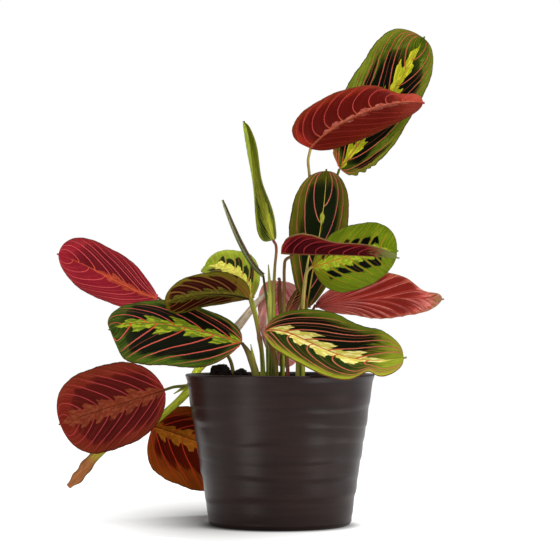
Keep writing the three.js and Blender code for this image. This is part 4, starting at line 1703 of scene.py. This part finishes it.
SHOOTS = (
    Shoot("stem_far_left", "stalk_brown", (
        Stalk((
            *rooted(-36.6, 22, 1.5, 117), (-40.6, 23, 129.3, 1.4),
            (-62.7, 29, 149.5, 1.2), (-84.8, 33, 166, 1.2), (-95, 34, 174.3, 1),
        ), (Tint.OLIVE, Tint.OLIVE, Tint.BROWN, Tint.WINE)),
    )),
    Shoot("stem_front_left", "stalk_green", (
        Stalk((
            *rooted(-18.2, -22, 3, 115), (-22, -22, 127.7, 2.7), (-25.2, -22, 134.5, 2),
            (-28.1, -23.6, 138.8, 1.3),
        ), (Tint.DEEP_GREEN, Tint.DEEP_GREEN, Tint.OLIVE, Tint.UMBER)),
        Stalk((
            (-19, -22, 120, 2.2), (-20.8, -22.6, 131, 1.2), (-22, -22.8, 138, 0.4),
        ), (Tint.OLIVE, Tint.GREEN)),
    )),
    Shoot("stem_left_pair", "stalk_brown", (
        Stalk((
            *rooted(-13, -8, 2, 115), (-14, -9, 132.8, 1.7), (-15.7, -10, 143.5, 2),
            (-16.3, -10, 146.5, 1.5),
        ), (Tint.OLIVE, Tint.GREEN, Tint.GREEN, Tint.WINE)),
        Stalk((
            (-15.7, -10, 143, 1.4), (-19.1, -12, 158.8, 1.1), (-23, -13.7, 172.2, 1),
        ), (Tint.WINE, Tint.OLIVE, Tint.OLIVE, Tint.OLIVE)),
        Stalk((
            (-15.7, -10, 143, 1.4), (-17.3, -3, 157.3, 1.1), (-21.2, 6.8, 172.4, 1),
        ), (Tint.WINE, Tint.OLIVE, Tint.GREEN, Tint.GREEN)),
    )),
    Shoot("stem_folded", "stalk_brown", (
        Stalk((
            *rooted(6, -11, 1.5, 116), (4.6, -8.4, 138, 1.4), (3.2, -8, 157.3, 1.3),
            (3.3, -12, 180.2, 1.2), (3.3, -18, 196.9, 1.2), (4.3, -21.6, 203, 1.2),
            (8.4, -23.5, 205.5, 1.2),
        ), (Tint.WINE, Tint.WINE, Tint.OLIVE, Tint.BROWN, Tint.BROWN)),
    )),
    Shoot("shoot_trailing", "stalk_green", (
        Stalk((
            *rooted(-8.8, 15.4, 2, 116), (-9.3, 15.4, 149.6, 1.8), (-8.6, 22, 169.8, 1.6),
            (-10.6, 30, 177.7, 1.5), (-17.3, 38, 172.3, 2.2), (-33.2, 46, 152.6, 3.6),
            (-53.9, 50, 129.5, 3.4), (-65.8, 50, 116.8, 3.2), (-73.5, 45, 100.5, 3.4),
            (-90.4, 37, 84.3, 2.6), (-101.9, 32, 75.1, 2.4), (-113.3, 27, 69.8, 2.4),
            (-130.7, 20, 61.6, 3), (-140.3, 14, 55, 4), (-148.5, 10, 46, 3.8),
            (-155.2, 7, 36.9, 2.6), (-161.9, 5, 30.1, 1.4),
        ), (
            *(Tint.GREEN,) * 3, *(Tint.BEIGE,) * 4, *(Tint.LIME,) * 6, *(Tint.DRY,) * 2,
        ), tatter=0.9),
        Stalk((
            (-71.2, 47, 106, 1.6), (-75.3, 40, 105.4, 1.4), (-82.9, 28, 105, 1.2),
            (-89.2, 20.8, 103.2, 1.1),
        ), (Tint.LIME, Tint.OLIVE, Tint.DEEP_GREEN, Tint.OLIVE)),
        Stalk((
            (-72, 46, 104, 1.8), (-77, 38, 103.2, 1.3), (-82.5, 34, 100, 0.5),
        ), (Tint.LIME, Tint.LIME, Tint.CREAM)),
        Stalk((
            (-97, 34, 79, 1.8), (-99.4, 38, 75.6, 1.4), (-100.4, 41, 74.4, 1.2),
        ), (Tint.LIME, Tint.OLIVE)),
    )),
    Shoot("shoot_centre", "stalk_green", (
        Stalk((
            (-4.4, -2, FOOT, 2.3), (-4.6, -1, 134.3, 2.2), (-5, 0, 157.3, 1.8),
            (-4.8, 0, 179.7, 1.3), (-3.9, 0, 198.9, 1.1), (-2.8, 0, 211.2, 1.1),
            (-3.3, 0, 215.4, 1.1), (-4.6, 0, 217.6, 1.1),
        ), (Tint.DEEP_GREEN, Tint.GREEN, Tint.GREEN, Tint.OLIVE, Tint.WINE)),
        Stalk((
            (-6.2, 7, FOOT, 1.8), (-6.2, 6, 134.2, 1.8), (-7.7, 6, 153.5, 1.4),
            (-10.1, 8, 172, 1.1), (-11.9, 12, 183.7, 1), (-12.8, 13.7, 190.6, 0.9),
        ), (Tint.CREAM, Tint.CREAM, Tint.GREEN, Tint.DEEP_GREEN, Tint.UMBER)),
        Stalk((
            (-7, 1.6, FOOT, 2.4), (-6.6, 2, 134.2, 2.4), (-6.8, 2, 153.5, 2.3),
            (-7.4, 2, 172.7, 2.2), (-8, 3, 184.3, 1.4), (-8.9, 3, 199, 0.4),
        ), (Tint.CREAM, Tint.GREEN, Tint.GREEN, Tint.CREAM, Tint.OLIVE)),
        Stalk((
            (-3.1, -6, FOOT, 2), (-3.8, -6, 126.7, 1.9), (-7.4, -9, 138.4, 1.7),
            (-11, -13, 147.2, 1.3),
        ), (Tint.DEEP_GREEN, Tint.OLIVE, Tint.WINE)),
        Stalk((
            (2.2, 8.6, FOOT, 1.8), (2, 11, 134.1, 1.6), (1.2, 20, 157.4, 1.3),
            (0, 28, 180.9, 1.2), (-0.5, 32, 189.3, 1.2), (-0.9, 35, 189.7, 1.1),
        ), (Tint.DEEP_GREEN, Tint.OLIVE, Tint.WINE)),
        Stalk((
            (1.8, 0, FOOT, 2), (2, 1, 134.2, 1.8), (2.6, 2, 145.8, 1.4),
            (2.9, 2, 155.6, 1),
        ), (Tint.DEEP_GREEN, Tint.GREEN, Tint.GREEN)),
    )),
    Shoot("shoot_right", "stalk_green", (
        Stalk((
            (16.4, 9, FOOT, 2), (17, 10, 134.1, 1.8), (18.6, 12, 151.1, 1.6),
            (20.8, 13.9, 165.6, 1.2),
        ), (Tint.CREAM, Tint.OLIVE, Tint.GREEN)),
        Stalk((
            (17, 3, FOOT, 2), (17, 2, 141.9, 1.9), (17.7, -1, 170.4, 1.6),
            (19.2, -5, 185.7, 1.5), (20.8, -9, 194.6, 1.3), (23.7, -11.4, 197.4, 1),
        ), (Tint.CREAM, Tint.GREEN, Tint.TAN, Tint.TAN, Tint.TAN)),
        Stalk((
            (19.2, -5, 184.2, 1.2), (20.9, -9, 198.7, 0.9), (22.2, -13, 207, 0.4),
        ), (Tint.TAN, Tint.TAN, Tint.CREAM)),
        Stalk((
            (17.4, 6, FOOT, 1.8), (18.6, 9, 138, 1.6), (21.7, 14, 155.8, 1.4),
            (27, 19.6, 168.1, 1),
        ), (Tint.DEEP_GREEN, Tint.OLIVE, Tint.WINE)),
        Stalk((
            (14.6, 8.4, FOOT, 1.8), (17.9, 15, 149.6, 1.6), (25, 25, 188.6, 1.3),
            (34.4, 25, 227.7, 1.2), (42.3, 27, 262.3, 1.1), (46.2, 28, 274.6, 1),
        ), (Tint.CREAM, Tint.OLIVE, Tint.OLIVE, Tint.DEEP_GREEN)),
        Stalk((
            (13.4, 5, FOOT, 1.8), (14.7, 13, 149.6, 1.6), (18.7, 22, 184.7, 1.3),
            (21.9, 23, 219.8, 1.2), (23.5, 20, 258.7, 1.1), (22.8, 17, 271, 1.1),
            (21.9, 15, 281.8, 1.1), (23.5, 14.1, 289.5, 1.1),
        ), (Tint.CREAM, Tint.OLIVE, Tint.OLIVE, Tint.BROWN, Tint.UMBER, Tint.TAN)),
    )),
)


def spun(
    section: Sequence[Span], cuts: Sequence[tuple[int, int]], steps: int
) -> bmesh.types.BMesh:
    """Spins a section round the pot's axis into a closed body.

    Args:
        section: Its corners from axis to axis, each a radius and a height in millimetres.
        cuts: Which of its edges are divided, and by how many cuts.
        steps: How many flats the turn has.

    Returns:
        The body, in metres.
    """
    mesh = bmesh.new()
    verts = [mesh.verts.new((r * MM, 0.0, z * MM)) for r, z in section]
    edges = [mesh.edges.new(pair) for pair in zip(verts, verts[1:])]
    for which, count in cuts:
        bmesh.ops.subdivide_edges(mesh, edges=[edges[which]], cuts=count)
    bmesh.ops.spin(
        mesh,
        geom=[*mesh.verts, *mesh.edges],
        cent=(0.0, 0.0, 0.0),
        axis=(0.0, 0.0, 1.0),
        angle=2 * math.pi,
        steps=steps,
        use_merge=True,
    )
    bmesh.ops.remove_doubles(mesh, verts=list(mesh.verts), dist=1e-6)
    bmesh.ops.recalc_face_normals(mesh, faces=list(mesh.faces))
    return mesh


@dataclass(frozen=True)
class Glaze:
    """Dark satin glaze with a faint brushed grain."""

    deep: str = "#120807"
    pale: str = "#21130f"
    roughness: float = 0.34
    gloss: float = 0.14

    # Spots of noise for each metre: round and up the pot, patches and pits.
    BRUSHED = (14.0, 260.0)
    PATCHES = 22.0
    PITS = 700.0

    def dress(self) -> bpy.types.Material:
        """Makes the glaze's material.

        Returns:
            The material.
        """
        shader = Shader("dark_satin_glaze")
        place = shader.place()
        x, y, z = shader.split(place)
        level, upright = self.BRUSHED
        drawn_out = shader.join(
            shader.product(x, level), shader.product(y, level), shader.product(z, upright)
        )
        brushed = shader.cloud(drawn_out, 1.0, 3.0)
        patches = shader.cloud(place, self.PATCHES, 3.0)
        pits = shader.cells(place, self.PITS)
        mottle = shader.scaled(brushed, 0.6, shader.product(patches, 0.5))
        tone = shader.blend(
            shader.rise(mottle, 0.3, 0.8), colour(self.deep), colour(self.pale)
        )
        roughness = shader.scaled(patches, 0.2, self.roughness - 0.1)
        height = shader.plus(shader.product(brushed, 0.06), shader.product(pits, 0.03))
        shader.finish(tone, roughness, self.gloss, height)
        return shader.material


@dataclass(frozen=True)
class Pot:
    """The tapered pot with its wandering ridges, in millimetres."""

    height: float = 116.0
    rim_radius: float = 73.0
    base_radius: float = 54.5
    wall: float = 5.0
    floor: float = 7.0
    foot_edge: float = 3.5
    lip: float = 1.4
    ridge_heights: tuple[float, ...] = (10, 24, 40, 54, 67, 80, 94)
    relief: float = 0.8
    wander: float = 2.2
    undercut: float = 5.0
    fade: float = 13.0
    segments: int = 240
    wall_rings: int = 150
    inner_rings: int = 30
    glaze: Glaze = Glaze()

    # The section's outer and inner wall, by their edges, and how far the ridges fade
    # before the wall's lower and upper end.
    OUTER_WALL = 3
    INNER_WALL = 8
    FADE_LOW = 5.0
    FADE_HIGH = 4.0

    def radius(self, height: float) -> float:
        """Outer radius of the smooth pot at a height."""
        share = height / self.height
        return self.base_radius + (self.rim_radius - self.base_radius) * share

    def ridge(self, height: np.ndarray, angle: np.ndarray) -> np.ndarray:
        """How far the wall stands back from its ridges' lower edges.

        Args:
            height: Heights above the foot.
            angle: Angles round the axis.

        Returns:
            Millimetres, from minus the relief to 0.
        """
        stand = np.zeros_like(height)
        for i, middle in enumerate(self.ridge_heights):
            turn = np.sin(angle + 2.1 * i) + 0.5 * np.sin(3 * angle + 1.3 * i)
            above = height - middle - self.wander * turn
            rising = eased(above, -self.undercut, 0.0)
            falling = 1.0 - eased(above, 0.0, self.fade)
            swell = 0.7 + 0.3 * np.sin(4 * angle + 2.3 * i) * np.sin(angle + 0.9 * i)
            stand = np.maximum(stand, rising * falling * swell)
        return self.relief * (stand - 1.0)

    def build(self) -> bpy.types.Object:
        """Spins the pot's section round its axis and works the ridges into the wall.

        Returns:
            The finished piece.
        """
        rim = self.rim_radius
        low, high = self.foot_edge, self.height - self.lip
        section = [
            (0.0, 0.0),
            (self.base_radius - low, 0.0),
            (self.base_radius - low * 0.3, low * 0.3),
            (self.radius(low), low),
            (self.radius(high), high),
            (rim - 0.4, self.height - 0.4),
            (rim - self.lip, self.height),
            (rim - self.wall + self.lip, self.height),
            (self.radius(high) - self.wall, high),
            (self.radius(self.floor) - self.wall, self.floor),
            (0.0, self.floor),
        ]
        cuts = ((self.OUTER_WALL, self.wall_rings), (self.INNER_WALL, self.inner_rings))
        mesh = spun(section, cuts, self.segments)
        wall = [
            vert
            for vert in mesh.verts
            if low - 0.1 < vert.co.z / MM < high + 0.1
            and vert.co.xy.length / MM > self.radius(vert.co.z / MM) - 1.0
        ]
        spots = np.array([vert.co for vert in wall]) / MM
        height = spots[:, 2]
        radius = np.hypot(spots[:, 0], spots[:, 1])
        rising, falling = (height - low) / self.FADE_LOW, (high - height) / self.FADE_HIGH
        ends = np.clip(np.minimum(rising, falling), 0.0, 1.0)
        back = self.ridge(height, np.arctan2(spots[:, 1], spots[:, 0])) * ends
        for vert, scale in zip(wall, 1.0 + back / radius):
            vert.co.x *= scale
            vert.co.y *= scale
        return set_down("ridged_pot", mesh, [self.glaze.dress()], "pot")


@dataclass(frozen=True)
class Loam:
    """Damp, nearly black potting soil with paler fibres."""

    deep: str = "#050302"
    pale: str = "#1c1410"
    fibre: str = "#5d452e"
    roughness: float = 0.78
    gloss: float = 0.1

    # Spots of noise for each metre.
    LUMPS = 160.0
    GRAINS = 620.0
    FIBRES = 900.0

    def dress(self) -> bpy.types.Material:
        """Makes the soil's material.

        Returns:
            The material.
        """
        shader = Shader("damp_loam")
        place = shader.place()
        lumps = shader.cloud(place, self.LUMPS, 4.0)
        grains = shader.cells(place, self.GRAINS)
        mottle = shader.scaled(grains, 0.4, shader.product(lumps, 0.7))
        tone = shader.blend(
            shader.rise(mottle, 0.35, 0.75), colour(self.deep), colour(self.pale)
        )
        fibre = shader.rise(shader.cloud(place, self.FIBRES, 1.0), 0.7, 0.76)
        tone = shader.blend(shader.product(fibre, 0.6), tone, colour(self.fibre))
        roughness = shader.scaled(lumps, 0.2, self.roughness)
        height = shader.plus(shader.product(lumps, 0.9), shader.product(grains, -0.5))
        shader.finish(tone, roughness, self.gloss, height)
        return shader.material


@dataclass(frozen=True)
class Clod:
    """A lump of soil: its centre and its half sizes in millimetres."""

    centre: Point
    size: Point


@dataclass(frozen=True)
class Soil:
    """The soil that fills the pot, with clods and crumbs on it."""

    top: float = 110.0
    gap: float = 0.3
    clods: tuple[Clod, ...] = (
        Clod((-45.5, -8, 114), (8.6, 7, 9.5)),
        Clod((-30, -12, 112.5), (6.4, 6, 7.6)),
        Clod((-54, 12, 110), (7, 6, 5)),
        Clod((38, -24, 109), (9, 7, 5)),
        Clod((30, 38, 109), (8, 9, 6)),
        Clod((4, -46, 109), (10, 7, 5)),
    )
    crumb_batches: int = 14
    crumbs_in_batch: int = 30
    crumb_reach: float = 64.0
    crumb_sizes: tuple[float, ...] = (0.8, 1.0, 1.2, 1.6, 2.4)
    segments: int = 180
    flat_rings: int = 44
    slope_rings: int = 3
    loam: Loam = Loam()

    # How far the bed's shoulder slopes in and down, and the section's slope and flat top
    # by their edges.
    SHOULDER = (5.0, 2.0)
    SLOPE = 2
    FLAT = 3
    ROUGHNESS = 1.3
    CRUMB_SEED = 11
    CRUMB_DETAIL = 2
    CLOD_DETAIL = 5

    def swell(self, x: float, y: float) -> float:
        """Height of the bed's gentle swell at a place, in millimetres."""
        return 1.1 * math.sin(x * 0.16 + 1) * math.cos(y * 0.13)

    def bed(self, pot: Pot) -> bmesh.types.BMesh:
        """Spins the soil's section and roughens its top.

        Args:
            pot: The pot that it fills.

        Returns:
            The closed body of soil.
        """
        inset, drop = self.SHOULDER
        bottom = pot.floor + self.gap
        edge = pot.radius(self.top - drop) - pot.wall - self.gap
        section = [
            (0.0, bottom),
            (pot.radius(pot.floor) - pot.wall - self.gap, bottom),
            (edge, self.top - drop),
            (edge - inset, self.top),
            (0.0, self.top),
        ]
        cuts = ((self.FLAT, self.flat_rings), (self.SLOPE, self.slope_rings))
        mesh = spun(section, cuts, self.segments)
        for vert in mesh.verts:
            if vert.co.z < (self.top - 1) * MM:
                continue
            place = vert.co
            rough = noise.fractal(place * 110, 0.6, 2.0, 4)
            inward = eased(place.xy.length / MM, edge, edge - 6)
            swell = self.swell(place.x / MM, place.y / MM)
            place.z += (swell + self.ROUGHNESS * rough * float(inward)) * MM
        return mesh

    def lump(self, mesh: bmesh.types.BMesh, clod: Clod, detail: int) -> None:
        """Adds a rough lump.

        Args:
            mesh: The mesh that it is added to.
            clod: Where it lies and how large it is.
            detail: How often its faces are split.
        """
        made = bmesh.ops.create_icosphere(mesh, subdivisions=detail, radius=1.0)["verts"]
        offset = Vector(clod.centre)
        size = Vector(clod.size)
        for vert in made:
            rough = noise.fractal(vert.co * 1.6 + offset, 0.5, 2.0, 4)
            vert.co = (offset + vert.co * size * (1.0 + 0.16 * rough)) * MM

    def crumble(self) -> bmesh.types.BMesh:
        """Scatters crumbs over the bed in small batches, which keeps the making quick.

        Returns:
            All the crumbs.
        """
        every = bmesh.new()
        draw = random.Random(self.CRUMB_SEED)
        for _ in range(self.crumb_batches):
            batch = bmesh.new()
            for _ in range(self.crumbs_in_batch):
                angle = draw.uniform(0.0, 2 * math.pi)
                distance = self.crumb_reach * math.sqrt(draw.random())
                size = draw.choice(self.crumb_sizes)
                x, y = distance * math.cos(angle), distance * math.sin(angle)
                shape = tuple(size * draw.uniform(0.7, 1.3) for _ in range(3))
                centre = (x, y, self.top + self.swell(x, y) + 0.3 * size)
                self.lump(batch, Clod(centre, shape), self.CRUMB_DETAIL)
            self.pour(batch, every)
        return every

    def pour(self, source: bmesh.types.BMesh, target: bmesh.types.BMesh) -> None:
        """Adds one mesh to another and frees the first.

        Args:
            source: The mesh that is used up.
            target: The mesh that it is added to.
        """
        data = bpy.data.meshes.new("poured")
        source.to_mesh(data)
        source.free()
        target.from_mesh(data)
        bpy.data.meshes.remove(data)

    def build(self, pot: Pot) -> bpy.types.Object:
        """Makes the soil with its clods and crumbs.

        Args:
            pot: The pot that it fills.

        Returns:
            The finished piece.
        """
        mesh = self.crumble()
        for clod in self.clods:
            heap = bmesh.new()
            self.lump(heap, clod, self.CLOD_DETAIL)
            self.pour(heap, mesh)
        self.pour(self.bed(pot), mesh)
        return set_down("potting_soil", mesh, [self.loam.dress()], "soil")


@dataclass(frozen=True)
class Lamp:
    """A soft square light that looks at the plant.

    Its place and the length of its sides are in metres and its power in watts.
    """

    name: str
    place: Point
    size: float
    power: float
    tone: str = "#ffffff"

    AIM = (0.0, 0.0, 0.18)

    def hang(self) -> None:
        """Makes the light and turns it to the plant."""
        light = bpy.data.lights.new(self.name, "AREA")
        light.size = self.size
        light.energy = self.power
        light.color = colour(self.tone)[:3]
        lamp = bpy.data.objects.new(self.name, light)
        lamp.location = self.place
        aim = Vector(self.AIM) - Vector(self.place)
        lamp.rotation_euler = aim.to_track_quat("-Z", "Y").to_euler()
        bpy.context.scene.collection.objects.link(lamp)


@dataclass(frozen=True)
class Pool:
    """A brighter round place on the floor, which works as a low light.

    Place and reach are in metres; within the core's share of the reach it is full.
    """

    place: Point
    reach: float
    strength: float

    CORE = 0.3


@dataclass(frozen=True)
class Studio:
    """A pale floor, soft light and the camera of the photograph.

    The floor glows white: less in an oval beside the foot, a painted shadow which makes
    most of the soft shade, and more in a few glowing pools, which light the pot from
    below.
    Contact shadow gives the radii between which the painted contact shadow, a darker
    floor under the foot, ends. Sizes are in metres.
    """

    camera_place: Point = (0.0, -1.65, 0.155)
    camera_pitch: float = 1.15
    lens: float = 137.8
    sensor: float = 36.0
    sky: float = 1.0
    sky_light: float = 0.46
    floor_size: float = 4.0
    floor_tone: str = "#a4a4a3"
    floor_roughness: float = 0.9
    # Painted contact shadow: a darker floor colour and a weaker glow in a ring round the
    # foot.
    contact_shadow_tone: str = "#4a4644"
    contact_shadow_glow: float = 0.3
    contact_shadow: Span = (0.05, 0.066)
    glow: float = 0.84
    shade_place: Point = (-0.045, 0.045, 0.0)
    shade_depth: float = 1.07
    shade_reach: float = 0.15
    shade_oval: Point = (1.0, 0.38, 1.0)
    pools: tuple[Pool, ...] = (
        Pool((-0.11, -0.145, 0.0), 0.06, 3.0),
        Pool((-0.19, -0.23, 0.0), 0.09, 5.0),
        Pool((0.155, -0.145, 0.0), 0.08, 5.0),
        Pool((0.21, -0.04, 0.0), 0.08, 2.0),
    )
    lamps: tuple[Lamp, ...] = (
        Lamp("key", (0.9, -0.8, 1.45), 0.7, 20.0),
        Lamp("front_left", (-0.95, -1.2, 0.25), 0.3, 11.0),
        Lamp("left_wall", (-1.3, 0.9, 0.4), 1.0, 2.5),
        Lamp("right_wall", (1.5, -0.35, 0.25), 0.7, 9.0, "#ffeee2"),
        Lamp("top", (-0.05, 0.0, 1.6), 1.0, 11.0),
    )

    WHITE = (1.0, 1.0, 1.0, 1.0)

    def set_up(self) -> None:
        """Makes the camera, the sky, the floor and the lights."""
        bpy.context.scene.view_settings.view_transform = "Standard"
        self.place_camera()
        self.light_sky()
        self.lay_floor()
        for lamp in self.lamps:
            lamp.hang()

    def place_camera(self) -> None:
        """Makes the camera of the photograph."""
        camera = bpy.data.objects.new("camera", bpy.data.cameras.new("camera"))
        camera.data.lens = self.lens
        camera.data.sensor_width = self.sensor
        camera.data.clip_start = 0.05
        camera.data.clip_end = 50.0
        camera.location = self.camera_place
        camera.rotation_euler = (math.radians(90.0 + self.camera_pitch), 0.0, 0.0)
        bpy.context.scene.collection.objects.link(camera)
        bpy.context.scene.camera = camera

    def light_sky(self) -> None:
        """Makes the sky: white to look at, and dimmer as a light."""
        world = bpy.data.worlds.new("white_studio")
        world.use_nodes = True
        tree = world.node_tree
        background = tree.nodes["Background"]
        background.inputs["Color"].default_value = self.WHITE
        strength = tree.nodes.new("ShaderNodeMapRange")
        strength.inputs["To Min"].default_value = self.sky_light
        strength.inputs["To Max"].default_value = self.sky
        seen = tree.nodes.new("ShaderNodeLightPath").outputs["Is Camera Ray"]
        tree.links.new(seen, strength.inputs["Value"])
        tree.links.new(strength.outputs["Result"], background.inputs["Strength"])
        bpy.context.scene.world = world

    def lay_floor(self) -> None:
        """Makes the floor, which is no part of the plant."""
        mesh = bmesh.new()
        bmesh.ops.create_grid(mesh, x_segments=1, y_segments=1, size=self.floor_size)
        data = bpy.data.meshes.new("floor")
        mesh.to_mesh(data)
        mesh.free()
        shader = Shader("pale_floor")
        shader.surface.inputs["Emission Color"].default_value = self.WHITE
        # Painted contact shadow: close round the foot the floor is darker and glows less.
        free = shader.rise(self.distance(shader, (0.0, 0.0, 0.0)), *self.contact_shadow)
        uncovered = shader.scaled(free, 1.0 - self.contact_shadow_glow, self.contact_shadow_glow)
        shader.feed(
            shader.surface.inputs["Emission Strength"],
            shader.product(self.floor_light(shader), uncovered),
        )
        tone = shader.blend(free, colour(self.contact_shadow_tone), colour(self.floor_tone))
        shader.finish(tone, self.floor_roughness, 0.0)
        data.materials.append(shader.material)
        floor = bpy.data.objects.new("floor", data)
        bpy.context.scene.collection.objects.link(floor)

    def floor_light(self, shader: Shader) -> Socket:
        """Makes the floor glow, less in the shade and more in the pools.

        Args:
            shader: The floor's material.

        Returns:
            The strength of the glow.
        """
        away = self.distance(shader, self.shade_place, self.shade_oval)
        near = shader.math(
            "MAXIMUM", 0.0, shader.scaled(away, -1.0 / self.shade_reach, 1.0)
        )
        light = shader.scaled(shader.product(near, near), -self.shade_depth, self.glow)
        for pool in self.pools:
            away = self.distance(shader, pool.place)
            share = shader.rise(away, pool.reach, pool.CORE * pool.reach)
            light = shader.scaled(share, pool.strength, light)
        return shader.math("MAXIMUM", light, 0.0)

    def distance(
        self, shader: Shader, centre: Point, scale: Point = (1.0, 1.0, 1.0)
    ) -> Socket:
        """Measures how far a point of the floor lies from a given place.

        Args:
            shader: The floor's material.
            centre: The given place.
            scale: Factors on the distance along each axis.

        Returns:
            The distance in metres.
        """
        vector = shader.place()
        for operation, by in (("SUBTRACT", centre), ("MULTIPLY", scale)):
            node = shader.tree.nodes.new("ShaderNodeVectorMath")
            node.operation = operation
            shader.feed(node.inputs[0], vector)
            node.inputs[1].default_value = by
            vector = node.outputs[0]
        length = shader.tree.nodes.new("ShaderNodeVectorMath")
        length.operation = "LENGTH"
        shader.feed(length.inputs[0], vector)
        return length.outputs["Value"]


def main() -> None:
    """Builds the studio and the plant."""
    logging.basicConfig(level=logging.INFO, format="%(relativeCreated)6d ms %(message)s")
    Studio().set_up()
    pot = Pot()
    pot.build()
    Soil().build(pot)
    skin = StalkFinish().dress("stalk_skin")
    for shoot in SHOOTS:
        shoot.build(skin)
    for leaf in LEAVES:
        leaf.build()


if __name__ == "__main__":
    main()
